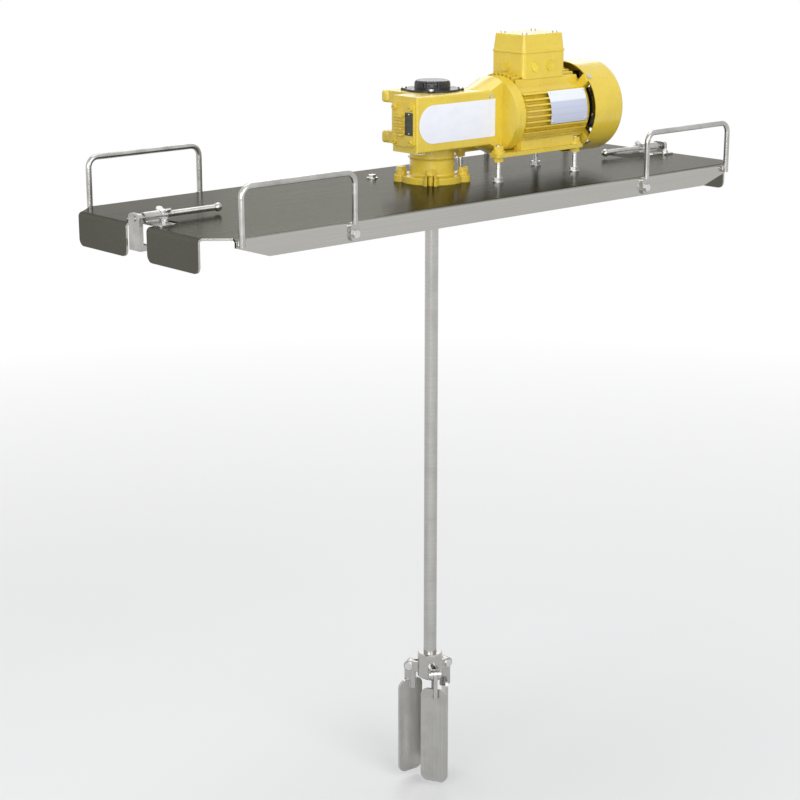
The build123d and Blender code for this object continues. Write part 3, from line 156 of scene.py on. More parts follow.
# ---------------------------------------------------------------- surfaces
def patch(grid, loop_columns=True, loop_rows=False, caps=False):
    """Points and faces over a grid: rows along the length, columns round the section.

    Each face joins point (i, j) to (i, j + 1), (i + 1, j + 1) and (i + 1, j). A cap is a fan from an end row
    to that row's mean point.
    """
    rows, columns = grid.shape[:2]
    i = np.arange(rows if loop_rows else rows - 1)[:, None]
    j = np.arange(columns if loop_columns else columns - 1)[None, :]
    down, right = (i + 1) % rows, (j + 1) % columns
    quads = np.stack(np.broadcast_arrays(i * columns + j, i * columns + right,
                                         down * columns + right, down * columns + j), -1).reshape(-1, 4)
    points, faces = grid.reshape(-1, 3), quads.tolist()
    if caps:
        first, last = len(points), len(points) + 1
        ring = np.arange(columns)
        after = (ring + 1) % columns
        base = (rows - 1) * columns
        points = np.vstack([points, grid[0].mean(0), grid[-1].mean(0)])
        faces += np.stack([after, ring, np.full(columns, first)], -1).tolist()
        faces += np.stack([base + ring, base + after, np.full(columns, last)], -1).tolist()
    return points, faces


def piece(name, patches, body, material, smooth=True):
    """One object out of several patches, riding on a body."""
    points, faces, start = [], [], 0
    for some_points, some_faces in patches:
        points.append(some_points)
        faces += [[start + corner for corner in face] for face in some_faces]
        start += len(some_points)
    mesh = bpy.data.meshes.new(name)
    mesh.from_pydata(np.vstack(points).tolist(), [], faces)
    mesh.polygons.foreach_set("use_smooth", np.full(len(faces), smooth))
    mesh.materials.append(material)
    mesh.update()
    shown = bpy.data.objects.new(name, mesh)
    bpy.context.scene.collection.objects.link(shown)
    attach(shown, body)
    return shown


def thread(start, end, radius, depth, pitch, columns=28, steps=6):
    """Screw thread between two points of an axis.

    The radius at angle a and distance s is the root radius plus the depth times a triangle wave of
    s / pitch - a / turn, and it falls back to the root over the first and last half pitch.
    """
    start, end = np.asarray(start, float), np.asarray(end, float)
    axis = end - start
    length = np.linalg.norm(axis)
    axis /= length
    side = np.cross(axis, [0.0, 0.0, 1.0] if abs(axis[2]) < 0.9 else [1.0, 0.0, 0.0])
    side /= np.linalg.norm(side)
    other = np.cross(axis, side)
    rows = int(length / pitch * steps) + 1
    s = np.linspace(0, length, rows)[:, None]
    a = np.linspace(0, TAU, columns, endpoint=False)[None, :]
    wave = 1 - np.abs(2 * ((s / pitch - a / TAU) % 1.0) - 1)
    fade = np.clip(np.minimum(s, length - s) / (pitch / 2), 0, 1)
    r = radius + depth * wave * fade
    grid = (start + s[..., None] * axis + (r * np.cos(a))[..., None] * side
            + (r * np.sin(a))[..., None] * other)
    return patch(grid, caps=True)


def bead(path, up, radius, ripple, closed=False, columns=14):
    """Weld bead along a path.

    At distance s and section angle a the radius is the bead's radius times 1 + 0.14 times the sine of
    (s + 0.8 radius (1 - cos a)) / ripple, which gives ripples that curve backwards.
    """
    path = np.asarray(path, float)
    step = np.roll(path, -1, 0) - np.roll(path, 1, 0)
    if not closed:
        step[0], step[-1] = path[1] - path[0], path[-1] - path[-2]
    step /= np.linalg.norm(step, axis=1, keepdims=True)
    up = np.broadcast_to(np.asarray(up, float), path.shape)
    side = np.cross(step, up)
    side /= np.linalg.norm(side, axis=1, keepdims=True)
    up = np.cross(side, step)
    s = np.concatenate([[0], np.cumsum(np.linalg.norm(np.diff(path, axis=0), axis=1))])
    a = np.linspace(0, TAU, columns, endpoint=False)
    back = 0.8 * radius * (1 - np.cos(a))[None, :]
    r = radius * (1 + 0.14 * np.sin(TAU * (s[:, None] + back) / ripple))
    if not closed:
        ease = np.sqrt(np.clip(np.minimum(s, s[-1] - s) / (1.2 * radius), 0.02, 1))
        r = r * ease[:, None]
    grid = (path[:, None, :] + (r * np.cos(a))[..., None] * up[:, None, :]
            - (r * np.sin(a))[..., None] * side[:, None, :])
    return patch(grid, loop_rows=closed, caps=not closed)


def turned(profile, centre, axis="z", columns=96):
    """Closed ring: a closed profile of (radius, height) points carried round an axis."""
    profile = np.asarray(profile, float)
    a = np.linspace(0, TAU, columns, endpoint=False)[:, None]
    r, h = profile[None, :, 0], profile[None, :, 1]
    flat = np.stack(np.broadcast_arrays(r * np.cos(a), r * np.sin(a), h), -1)
    if axis == "x":
        flat = np.stack([flat[..., 2], flat[..., 0], flat[..., 1]], -1)
    return patch(flat + np.asarray(centre, float), loop_rows=True)


def dome(centre, normal, radius, height, columns=20, rows=7):
    """Rivet head: the radius falls with the cosine and the height rises with the sine of one angle."""
    normal = np.asarray(normal, float) / np.linalg.norm(normal)
    side = np.cross(normal, [0.0, 0.0, 1.0] if abs(normal[2]) < 0.9 else [1.0, 0.0, 0.0])
    side /= np.linalg.norm(side)
    other = np.cross(normal, side)
    t = np.linspace(0, 0.47 * np.pi, rows)[:, None]
    a = np.linspace(0, TAU, columns, endpoint=False)[None, :]
    r = radius * np.cos(t)
    h = np.broadcast_to(height * np.sin(t), (rows, columns))
    grid = (np.asarray(centre, float) + h[..., None] * normal + (r * np.cos(a))[..., None] * side
            + (r * np.sin(a))[..., None] * other)
    return patch(grid, caps=True)


def rounded_loop(low, high, radius, height, corner_steps=10):
    """Closed path round a rounded rectangle at one height: four quarter circles joined by straight runs."""
    x0, y0, x1, y1 = low[0] + radius, low[1] + radius, high[0] - radius, high[1] - radius
    quarter = np.linspace(0, np.pi / 2, corner_steps)
    corners = [(x1, y1, 0), (x0, y1, 1), (x0, y0, 2), (x1, y0, 3)]
    arcs = []
    for x, y, k in corners:
        turn = quarter + k * np.pi / 2
        arcs.append(np.stack([x + radius * np.cos(turn), y + radius * np.sin(turn),
                              np.full(corner_steps, height)], -1))
    return np.vstack(arcs)


def lip(path, section):
    """Closed strip: a section of (outwards, upwards) points carried round a level closed path."""
    step = np.roll(path, -1, 0) - np.roll(path, 1, 0)
    step /= np.linalg.norm(step, axis=1, keepdims=True)
    out = np.cross(step, [0.0, 0.0, 1.0])
    section = np.asarray(section, float)
    grid = (path[:, None, :] + section[None, :, 0, None] * out[:, None, :]
            + section[None, :, 1, None] * np.array([0.0, 0.0, 1.0]))
    return patch(grid, loop_rows=True)


# ---------------------------------------------------------------- shader building
def begin(name, base, roughness, metallic=0.0):
    """New material and its tree, with the plain values set on the shader."""
    material = bpy.data.materials.new(name)
    material.use_nodes = True
    tree = material.node_tree
    shader = tree.nodes["Principled BSDF"]
    shader.inputs["Base Color"].default_value = (*base, 1.0)
    shader.inputs["Roughness"].default_value = roughness
    shader.inputs["Metallic"].default_value = metallic
    return material, tree, shader


def add(tree, kind, settings=None, **values):
    """New node with attributes from settings and input values by name."""
    node = tree.nodes.new(kind)
    for key, value in (settings or {}).items():
        setattr(node, key, value)
    for key, value in values.items():
        node.inputs[key.replace("_", " ")].default_value = value
    return node


def grain(tree, scale, stretch=(1.0, 1.0, 1.0), detail=4.0, roughness=0.55):
    """Noise on object coordinates; stretch multiplies the frequency along each axis."""
    place = add(tree, "ShaderNodeTexCoord")
    mapping = add(tree, "ShaderNodeMapping", Scale=stretch)
    noise = add(tree, "ShaderNodeTexNoise", Scale=scale, Detail=detail, Roughness=roughness)
    tree.links.new(place.outputs["Object"], mapping.inputs["Vector"])
    tree.links.new(mapping.outputs["Vector"], noise.inputs["Vector"])
    return noise.outputs["Fac"]


def ranged(tree, source, low, high, to_low, to_high):
    """Source between low and high, mapped to another range and clamped."""
    node = add(tree, "ShaderNodeMapRange", From_Min=low, From_Max=high, To_Min=to_low, To_Max=to_high)
    tree.links.new(source, node.inputs["Value"])
    return node.outputs["Result"]


def blend(tree, factor, first, second):
    """Colour between two colours or colour sockets."""
    node = add(tree, "ShaderNodeMix", {"data_type": "RGBA"})
    tree.links.new(factor, node.inputs[0])
    for index, value in ((6, first), (7, second)):
        if isinstance(value, bpy.types.NodeSocket):
            tree.links.new(value, node.inputs[index])
        else:
            node.inputs[index].default_value = (*value, 1.0)
    return node.outputs[2]


def arithmetic(tree, operation, first, second):
    """Math node on sockets or numbers."""
    node = add(tree, "ShaderNodeMath", {"operation": operation})
    for index, value in enumerate((first, second)):
        if isinstance(value, bpy.types.NodeSocket):
            tree.links.new(value, node.inputs[index])
        else:
            node.inputs[index].default_value = value
    return node.outputs[0]


def relief(tree, shader, height, strength, distance, edge=0.0):
    """Bump from a height socket, over edges softened by the given radius."""
    node = add(tree, "ShaderNodeBump", Strength=strength, Distance=distance)
    tree.links.new(height, node.inputs["Height"])
    if edge:
        soft = add(tree, "ShaderNodeBevel", {"samples": 4}, Radius=edge)
        tree.links.new(soft.outputs["Normal"], node.inputs["Normal"])
    tree.links.new(node.outputs["Normal"], shader.inputs["Normal"])


def drive(tree, shader, socket, value):
    """Links a value or a colour to one of the shader's sockets."""
    tree.links.new(value, shader.inputs[socket])


def facing(tree, axis, low, high):
    """How far a surface faces along an axis, either way, as a factor."""
    where = add(tree, "ShaderNodeNewGeometry")
    parts = add(tree, "ShaderNodeSeparateXYZ")
    tree.links.new(where.outputs["Normal"], parts.inputs["Vector"])
    return ranged(tree, arithmetic(tree, "ABSOLUTE", parts.outputs[axis], 0.0), low, high, 0.0, 1.0)


def position(tree, axis):
    """Object coordinate along an axis."""
    place = add(tree, "ShaderNodeTexCoord")
    parts = add(tree, "ShaderNodeSeparateXYZ")
    tree.links.new(place.outputs["Object"], parts.inputs["Vector"])
    return parts.outputs[axis]


def enamel(name, base, worn, roughness):
    """Sprayed gloss enamel: faint blotches, darker chips and orange peel."""
    material, tree, shader = begin(name, base, roughness)
    blotch = ranged(tree, grain(tree, 26.0, detail=3.0), 0.40, 0.72, 0.0, 0.35)
    coated = blend(tree, blotch, base, worn)
    chips = ranged(tree, grain(tree, 420.0, detail=5.0, roughness=0.7), 0.70, 0.76, 0.0, 0.5)
    drive(tree, shader, "Base Color", blend(tree, chips, coated, worn))
    gloss = ranged(tree, grain(tree, 60.0), 0.3, 0.7, roughness - 0.05, roughness + 0.10)
    drive(tree, shader, "Roughness", gloss)
    peel = grain(tree, 380.0, detail=2.0)
    relief(tree, shader, peel, 0.16, 0.0006, edge=0.0009)
    shader.inputs["Coat Weight"].default_value = 0.35
    shader.inputs["Coat Roughness"].default_value = 0.12
    return material


def sheet_steel(name, flat, side, roughness):
    """Brushed stainless sheet: lengthwise grain, painted shade (a dark painted reflection) on the flats and
    painted light (a pale painted reflection) on the side flanges.
    """
    material, tree, shader = begin(name, flat, roughness, metallic=1.0)
    streaks = grain(tree, 1.0, (3.0, 700.0, 700.0), detail=6.0, roughness=0.6)
    wide = grain(tree, 9.0, (0.5, 1.0, 1.0), detail=3.0)
    shader.inputs["Specular Tint"].default_value = (0.47, 0.465, 0.44, 1.0)
    # Painted light and shade: the way the surface faces picks the dark shaded copy of the colour for the flats and
    # the pale lit copy for the side flanges
    turn = facing(tree, 1, 0.35, 0.85)
    tone = blend(tree, turn, flat, side)
    pale = blend(tree, turn, tuple(min(1.0, 1.45 * c) for c in flat), tuple(min(1.0, 1.2 * c) for c in side))
    mark = arithmetic(tree, "MULTIPLY", ranged(tree, streaks, 0.42, 0.75, 0.0, 1.0),
                      ranged(tree, wide, 0.35, 0.7, 0.25, 1.0))
    drive(tree, shader, "Base Color", blend(tree, mark, tone, pale))
    drive(tree, shader, "Roughness", ranged(tree, streaks, 0.3, 0.7, roughness - 0.06, roughness + 0.12))
    relief(tree, shader, streaks, 0.10, 0.0002, edge=0.0006)
    return material


def bar_steel(name, base, roughness, along=(600.0, 600.0, 6.0), depth=0.08):
    """Drawn or turned metal with fine lines; along holds the lines' frequency on each axis."""
    material, tree, shader = begin(name, base, roughness, metallic=1.0)
    lines = grain(tree, 1.0, along, detail=5.0)
    cloud = grain(tree, 35.0, detail=2.0)
    dark = tuple(0.72 * c for c in base)
    tone = blend(tree, ranged(tree, lines, 0.35, 0.7, 0.0, 0.6), base, dark)
    drive(tree, shader, "Base Color", blend(tree, ranged(tree, cloud, 0.45, 0.75, 0.0, 0.5), tone, dark))
    drive(tree, shader, "Roughness", ranged(tree, lines, 0.3, 0.7, roughness - 0.06, roughness + 0.08))
    relief(tree, shader, lines, depth, 0.0002, edge=0.0004)
    return material


def drawn_wire(name, base):
    """Polished wire and welded fittings: soft clouds and a faint fine grain that shows no direction."""
    material, tree, shader = begin(name, base, 0.22, metallic=1.0)
    cloud = grain(tree, 45.0, detail=3.0)
    fine = grain(tree, 1400.0, detail=3.0)
    dark = tuple(0.62 * c for c in base)
    drive(tree, shader, "Base Color", blend(tree, ranged(tree, cloud, 0.35, 0.75, 0.0, 0.8), base, dark))
    drive(tree, shader, "Roughness", ranged(tree, fine, 0.35, 0.7, 0.18, 0.34))
    relief(tree, shader, fine, 0.03, 0.0002, edge=0.0004)
    return material


def plated(name, base):
    """Bright plated steel: cloudy passivation and small scratches."""
    material, tree, shader = begin(name, base, 0.28, metallic=1.0)
    cloud = grain(tree, 130.0, detail=4.0)
    scratch = grain(tree, 900.0, (1.0, 0.2, 1.0), detail=3.0)
    warm = (base[0] * 0.86, base[1] * 0.82, base[2] * 0.72)
    drive(tree, shader, "Base Color", blend(tree, ranged(tree, cloud, 0.45, 0.7, 0.0, 0.55), base, warm))
    drive(tree, shader, "Roughness", ranged(tree, scratch, 0.35, 0.7, 0.20, 0.42))
    relief(tree, shader, scratch, 0.06, 0.0002, edge=0.0003)
    return material


def half_painted(name, bare, coat, level):
    """Bare plating below a level and enamel above it, changing over two millimetres."""
    material, tree, shader = begin(name, coat, 0.3)
    above = ranged(tree, position(tree, 2), level - 0.001, level + 0.001, 0.0, 1.0)
    drive(tree, shader, "Base Color", blend(tree, above, bare, coat))
    drive(tree, shader, "Metallic", arithmetic(tree, "SUBTRACT", 1.0, above))
    drive(tree, shader, "Roughness", ranged(tree, grain(tree, 130.0), 0.3, 0.7, 0.24, 0.38))
    relief(tree, shader, grain(tree, 380.0, detail=2.0), 0.10, 0.0004, edge=0.0003)
    return material


def moulded(name, base, roughness, texture=700.0):
    """Moulded plastic or rubber: fine leathery texture and faint flow marks."""
    material, tree, shader = begin(name, base, roughness)
    fine = grain(tree, texture, detail=3.0)
    flow = grain(tree, 30.0, (1.0, 1.0, 0.3), detail=2.0)
    light = tuple(min(1.0, 1.8 * c + 0.004) for c in base)
    drive(tree, shader, "Base Color", blend(tree, ranged(tree, flow, 0.45, 0.8, 0.0, 0.6), base, light))
    drive(tree, shader, "Roughness", ranged(tree, fine, 0.35, 0.7, roughness - 0.05, roughness + 0.10))
    relief(tree, shader, fine, 0.10, 0.0003, edge=0.0005)
    return material


def cast(name, base, metallic=1.0):
    """Bare casting or laminations: granular, dull."""
    material, tree, shader = begin(name, base, 0.55, metallic=metallic)
    grit = grain(tree, 500.0, detail=6.0, roughness=0.65)
    dark = tuple(0.6 * c for c in base)
    drive(tree, shader, "Base Color", blend(tree, ranged(tree, grit, 0.35, 0.7, 0.0, 1.0), base, dark))
    drive(tree, shader, "Roughness", ranged(tree, grit, 0.3, 0.7, 0.45, 0.7))
    relief(tree, shader, grit, 0.25, 0.0003)
    return material


def label_film(name, base):
    """Blank printed film: nearly even, with a soft sheen and faint rubbing."""
    material, tree, shader = begin(name, base, 0.32)
    rub = grain(tree, 45.0, (1.0, 1.0, 2.0), detail=5.0)
    soft = (base[0] * 0.93, base[1] * 0.94, base[2] * 0.97)
    drive(tree, shader, "Base Color", blend(tree, ranged(tree, rub, 0.4, 0.75, 0.0, 1.0), base, soft))
    drive(tree, shader, "Roughness", ranged(tree, rub, 0.3, 0.7, 0.26, 0.40))
    relief(tree, shader, grain(tree, 500.0, detail=2.0), 0.04, 0.0002, edge=0.0003)
    return material


def printed_plate(name, field, low, high):
    """Silver plate with a bare bright head and a tinted field below it, crossed by faint ruled lines."""
    material, tree, shader = begin(name, field, 0.34, metallic=0.35)
    height = position(tree, 2)
    head = ranged(tree, height, low + 0.66 * (high - low), low + 0.70 * (high - low), 0.0, 1.0)
    rule = arithmetic(tree, "FRACT", arithmetic(tree, "MULTIPLY", height, 5.0 / (high - low)), 0.0)
    line = ranged(tree, rule, 0.90, 0.93, 0.0, 0.30)
    ruled = blend(tree, line, field, tuple(0.55 * c for c in field))
    lines = grain(tree, 1.0, (4.0, 700.0, 700.0), detail=4.0)
    bright = blend(tree, ranged(tree, lines, 0.3, 0.7, 0.0, 1.0), (0.86, 0.89, 0.92), (0.74, 0.79, 0.84))
    drive(tree, shader, "Base Color", blend(tree, head, ruled, bright))
    drive(tree, shader, "Roughness", ranged(tree, lines, 0.3, 0.7, 0.28, 0.42))
    relief(tree, shader, lines, 0.05, 0.0001, edge=0.0003)
    return material


def wrapped(name, base):
    """Lacquered windings: ribs round the bundle and a warm gloss."""
    material, tree, shader = begin(name, base, 0.35, metallic=0.6)
    strands = grain(tree, 1.0, (900.0, 300.0, 300.0), detail=4.0)
    drive(tree, shader, "Base Color", blend(tree, strands, base, tuple(0.4 * c for c in base)))
    relief(tree, shader, strands, 0.5, 0.0004)
    return material


def give(slot_names, material, only=()):
    """Puts a material on every carried node of the named slots, or on the named nodes."""
    for node, shown in frame["nodes"].items():
        if node in only or (not only and SLOT_OF[node] in slot_names):
            shown.data.materials.clear()
            shown.data.materials.append(material)


def finish_named(name):
    """Material made by an earlier operator."""
    material = bpy.data.materials.get(name)
    if material is None:
        raise RuntimeError(f"the finish {name} isn't made yet; run its operator first")
    return material


# ---------------------------------------------------------------- operators: finishes
class AGITATOR_OT_paint(bpy.types.Operator):
    """Yellow enamel on the gearbox, motor, cowl and terminal box"""
    bl_idname = "agitator.paint"
    bl_label = "Paint"

    def execute(self, context):
        look = context.scene.agitator_finish
        give(["yellow_paint"], enamel("enamel_yellow", look.paint, look.paint_worn, look.paint_rough))
        plug = moulded("plastic_yellow", look.paint, 0.33, 500.0)
        give(["yellow_plastic"], plug)
        return {"FINISHED"}


class AGITATOR_OT_sheet(bpy.types.Operator):
    """Brushed stainless sheet of the bridge plate and the blades"""
    bl_idname = "agitator.sheet"
    bl_label = "Stainless Sheet"

    def execute(self, context):
        look = context.scene.agitator_finish
        give([], sheet_steel("sheet_bridge", look.sheet_flat_painted_shade, look.sheet_side_painted_light, look.sheet_rough),
             only=("bridge_plate",))
        give([], bar_steel("sheet_blades", look.wire, 0.30, (60.0, 500.0, 8.0), 0.10),
             only=("blade_1", "blade_2", "blade_3"))
        return {"FINISHED"}


class AGITATOR_OT_bars(bpy.types.Operator):
    """Drawn stainless of the handles, latches, shaft and impeller hub"""
    bl_idname = "agitator.bars"
    bl_label = "Stainless Bars"

    def execute(self, context):
        look = context.scene.agitator_finish
        give(["wire_stainless"], drawn_wire("bar_drawn", look.wire))
        give([], bar_steel("bar_ground", look.wire, 0.20, (8.0, 8.0, 900.0), 0.12),
             only=("agitator_shaft", "impeller_hub"))
        give(["machined_steel"], bar_steel("steel_machined", look.machined, 0.28, (8.0, 8.0, 700.0), 0.12))
        return {"FINISHED"}


class AGITATOR_OT_fasteners(bpy.types.Operator):
    """Plated bolts, nuts, washers, studs and pins"""
    bl_idname = "agitator.fasteners"
    bl_label = "Fasteners"

    def execute(self, context):
        look = context.scene.agitator_finish
        give(["fastener_steel"], plated("steel_plated", look.zinc))
        low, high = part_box("support_nuts")
        give([], half_painted("steel_half_painted", look.zinc, look.paint, (low.z + high.z) / 2),
             only=("support_nuts",))
        return {"FINISHED"}


class AGITATOR_OT_mouldings(bpy.types.Operator):
    """Black cap, fan and terminal block, and the rubber seals"""
    bl_idname = "agitator.mouldings"
    bl_label = "Mouldings"

    def execute(self, context):
        look = context.scene.agitator_finish
        give(["black_plastic"], moulded("plastic_black", look.plastic, 0.22))
        give(["seal_rubber"], moulded("rubber_seal", (0.02, 0.02, 0.02), 0.6, 400.0))
        return {"FINISHED"}


class AGITATOR_OT_plates(bpy.types.Operator):
    """Blank label, motor plate and type plate"""
    bl_idname = "agitator.plates"
    bl_label = "Plates and Label"

    def execute(self, context):
        look = context.scene.agitator_finish
        low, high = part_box("motor_plate")
        give(["white_label"], label_film("film_label", look.label))
        give(["aluminium_plate"], printed_plate("plate_silver", look.silver, low.z, high.z))
        give(["grey_plate"], bar_steel("plate_grey", look.grey, 0.42, (200.0, 8.0, 500.0), 0.06))
        return {"FINISHED"}


class AGITATOR_OT_inner_parts(bpy.types.Operator):
    """Castings, laminations, bronze, copper and bearing steel inside the drive"""
    bl_idname = "agitator.inner_parts"
    bl_label = "Inner Parts"

    def execute(self, context):
        give(["cast_iron"], cast("iron_cast", (0.22, 0.22, 0.22)))
        give(["lamination_steel"], cast("steel_laminated", (0.30, 0.30, 0.31)))
        give(["bronze"], cast("bronze_rim", (0.60, 0.38, 0.14)))
        give(["copper_winding"], wrapped("copper_turns", (0.55, 0.22, 0.08)))
        bearing = bar_steel("steel_bearing", (0.62, 0.62, 0.63), 0.12, (40.0, 40.0, 40.0), 0.02)
        give(["bearing_steel"], bearing)
        return {"FINISHED"}


# ---------------------------------------------------------------- operators: formed details
class AGITATOR_OT_stud_threads(bpy.types.Operator):
    """Threads of the four motor studs, between their nuts and at their lower ends"""
    bl_idname = "agitator.stud_threads"
    bl_label = "Stud Threads"

    def execute(self, context):
        sizes = context.scene.agitator_detail
        low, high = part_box("support_studs")
        nut_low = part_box("support_nuts")[0]
        plate_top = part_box("bridge_plate")[1].z
        nut_stack = abs(nut_low.z)
        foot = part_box("motor_housing")[0].z
        r = sizes.thread_radius
        centres = [(x, y) for x in (low.x + r, high.x - r) for y in (low.y + r, high.y - r)]
        inset = 0.0003      # short of the stud's end, and into the nut
        spans = [(plate_top + nut_stack, foot - nut_stack), (low.z + inset, nut_low.z + inset)]
        patches = [thread((x, y, z0), (x, y, z1), r, sizes.thread_depth, sizes.thread_pitch)
                   for x, y in centres for z0, z1 in spans]
        piece("stud_threads", patches, STATIC, finish_named("steel_plated"))
        return {"FINISHED"}


class AGITATOR_OT_rod_threads(bpy.types.Operator):
    """Threads of the two hook rods, from the ball to just short of the guide"""
    bl_idname = "agitator.rod_threads"
    bl_label = "Hook Rod Threads"

    def execute(self, context):
        sizes = context.scene.agitator_detail
        past_ball = 0.0115      # start of the thread, from the outer side of the ball
        for side, sign in (("left", -1.0), ("right", 1.0)):
            _, y, z = JOINT[f"wing_nut_{side}_turn"]["pos_m"]
            low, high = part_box(f"hook_rod_{side}")
            ball = low.x if sign > 0 else high.x
            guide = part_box(f"latch_guide_{side}")
            inner = guide[0].x if sign > 0 else guide[1].x
            start, end = (ball + sign * past_ball, y, z), (inner - sign * sizes.slide_room, y, z)
            piece(f"rod_thread_{side}", [thread(start, end, sizes.thread_radius, sizes.thread_depth,
                                                sizes.thread_pitch)],
                  f"hook_rod_{side}", finish_named("bar_drawn"))
        return {"FINISHED"}


class AGITATOR_OT_handle_welds(bpy.types.Operator):
    """Weld beads where the handles' outer legs meet the flanges"""
    bl_idname = "agitator.handle_welds"
    bl_label = "Handle Welds"

    def execute(self, context):
        sizes = context.scene.agitator_detail
        wire = 0.004                            # radius of the handle
        weld_low, weld_high = -0.0075, 0.0005   # along the leg
        beside_leg, off_flange = 0.0029, 0.0009
        points = 24
        patches = []
        for end, sx in (("left", -1.0), ("right", 1.0)):
            for row, sy in (("front", -1.0), ("back", 1.0)):
                low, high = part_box(f"handle_{row}_{end}")
                x = (low.x if sx < 0 else high.x) - sx * wire
                face = (high.y if sy < 0 else low.y)
                for beside in (-1.0, 1.0):
                    z = np.linspace(weld_low, weld_high, points)
                    path = np.stack([np.full(points, x + beside * beside_leg),
                                     np.full(points, face + sy * off_flange), z], -1)
                    patches.append(bead(path, (beside, 0.0, 0.0), sizes.weld_radius, sizes.weld_ripple))
        piece("handle_welds", patches, STATIC, finish_named("bar_drawn"))
        return {"FINISHED"}


class AGITATOR_OT_guide_welds(bpy.types.Operator):
    """Weld beads between the guide tubes and their saddles"""
    bl_idname = "agitator.guide_welds"
    bl_label = "Guide Welds"

    def execute(self, context):
        sizes = context.scene.agitator_detail
        saddle, above_saddle = 0.0025, 0.0006
        beside_tube, end_inset = 0.0041, 0.0012
        points = 60
        patches = []
        for side in ("left", "right"):
            low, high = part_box(f"latch_guide_{side}")
            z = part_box("bridge_plate")[1].z + saddle
            for across in (-1.0, 1.0):
                x = np.linspace(low.x + end_inset, high.x - end_inset, points)
                path = np.stack([x, np.full(points, across * beside_tube),
                                 np.full(points, z + above_saddle)], -1)
                patches.append(bead(path, (0.0, 0.0, 1.0), sizes.weld_radius, sizes.weld_ripple))
        piece("guide_welds", patches, STATIC, finish_named("bar_drawn"))
        return {"FINISHED"}


class AGITATOR_OT_blade_welds(bpy.types.Operator):
    """Weld beads between each blade's tang and paddle"""
    bl_idname = "agitator.blade_welds"
    bl_label = "Blade Welds"

    def execute(self, context):
        sizes = context.scene.agitator_detail
        pitch = np.radians(35.0)
        half_tang, half_paddle = 0.003, 0.002
        lap_top, lap_bottom = -0.0262, -0.0372  # from the hinge pin
        for index in (1, 2, 3):
            joint = JOINT[f"blade_{index}_fold"]
            pin = np.array(joint["pos_m"])
            along = -np.array(joint["axis"])
            out = np.cross(along, [0.0, 0.0, 1.0])
            patches = []
            for across in (-1.0, 1.0):
                for face in (-1.0, 1.0):
                    y = across * half_tang
                    x = (face * half_paddle + y * np.sin(pitch)) / np.cos(pitch)
                    z = np.linspace(lap_top, lap_bottom, 36)[:, None]
                    path = pin + x * out + y * along + z * np.array([0.0, 0.0, 1.0])
                    patches.append(bead(path, across * along, 0.8 * sizes.weld_radius, sizes.weld_ripple))
            piece(f"blade_weld_{index}", patches, f"blade_{index}",
                  finish_named("sheet_blades"))
        return {"FINISHED"}


class AGITATOR_OT_cast_fillets(bpy.types.Operator):
    """Fillets at both ends of the cast barrel"""
    bl_idname = "agitator.cast_fillets"
    bl_label = "Cast Fillets"

    def execute(self, context):
        sizes = context.scene.agitator_detail
        centre_x, centre_y, _ = JOINT["shaft_spin"]["pos_m"]
        barrel = sizes.barrel_radius
        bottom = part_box("bridge_plate")[1].z + sizes.flange_thick
        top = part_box("gear_housing")[0].z
        arc = np.linspace(0, np.pi / 2, 10)
        into_barrel, into_face = 0.0008, 0.0004     # hidden part of the fillet
        patches = []
        for level, way, r in ((bottom, 1.0, sizes.fillet_radius), (top, -1.0, 0.7 * sizes.fillet_radius)):
            curve = np.stack([barrel + r - r * np.sin(arc), level + way * (r - r * np.cos(arc))], -1)
            buried, base = barrel - into_barrel, level - way * into_face
            inner = np.array([[buried, level + way * r], [buried, base], [barrel + r, base]])
            profile = np.vstack([curve, inner])
            profile = profile if way > 0 else profile[::-1]
            patches.append(turned(profile, (centre_x, centre_y, 0.0)))
        piece("barrel_fillets", patches, STATIC, finish_named("enamel_yellow"))
        return {"FINISHED"}


class AGITATOR_OT_cover_rim(bpy.types.Operator):
    """Lip round the joint of the terminal box and its cover"""
    bl_idname = "agitator.cover_rim"
    bl_label = "Terminal Cover Rim"

    def execute(self, context):
        sizes = context.scene.agitator_detail
        low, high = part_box("terminal_cover")
        h, o = sizes.rim_height, sizes.rim_reach
        corner = 0.006
        section = [(-0.0010, h), (o * 0.4, h), (o * 0.85, h * 0.88), (o, h * 0.70), (o, h * 0.25),
                   (o * 0.8, 0.0002), (o * 0.4, 0.0), (-0.0003, 0.0)]
        path = rounded_loop(low, high, corner, low.z)
        piece("cover_rim", [lip(path, section[::-1])], STATIC, finish_named("enamel_yellow"))
        return {"FINISHED"}


class AGITATOR_OT_rivets(bpy.types.Operator):
    """Drive rivets of the motor plate and the type plate"""
    bl_idname = "agitator.rivets"
    bl_label = "Rivets"

    def execute(self, context):
        r = context.scene.agitator_detail.rivet_radius
        _, y, z = JOINT["rotor_spin"]["pos_m"]
        low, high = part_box("motor_plate")
        rim = y - low.y
        motor_margin, type_margin = 0.0035, 0.0025  # rivets from the edges of each plate
        seat = rim - 0.0002
        patches = []
        for angle in np.radians((-10.0, 30.0)):
            for x in (low.x + motor_margin, high.x - motor_margin):
                normal = np.array([0.0, -np.cos(angle), np.sin(angle)])
                patches.append(dome(np.array([x, y, z]) + seat * normal, normal, r, 0.6 * r))
        low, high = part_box("type_plate")
        for level in (low.z + type_margin, high.z - type_margin):
            centre = (low.x + 0.0001, (low.y + high.y) / 2, level)
            patches.append(dome(centre, (-1.0, 0.0, 0.0), 0.8 * r, 0.5 * r))
        piece("plate_rivets", patches, STATIC, finish_named("steel_plated"))
        return {"FINISHED"}


# ---------------------------------------------------------------- operators: stage
def lamp(name, place, aim, size, energy):
    """White square area lamp that faces a point."""
    data = bpy.data.lights.new(name, "AREA")
    data.shape, data.size, data.energy = "SQUARE", size, energy
    shown = bpy.data.objects.new(name, data)
    shown.location = place
    shown.rotation_euler = (Vector(aim) - Vector(place)).to_track_quat("-Z", "Y").to_euler()
    bpy.context.scene.collection.objects.link(shown)


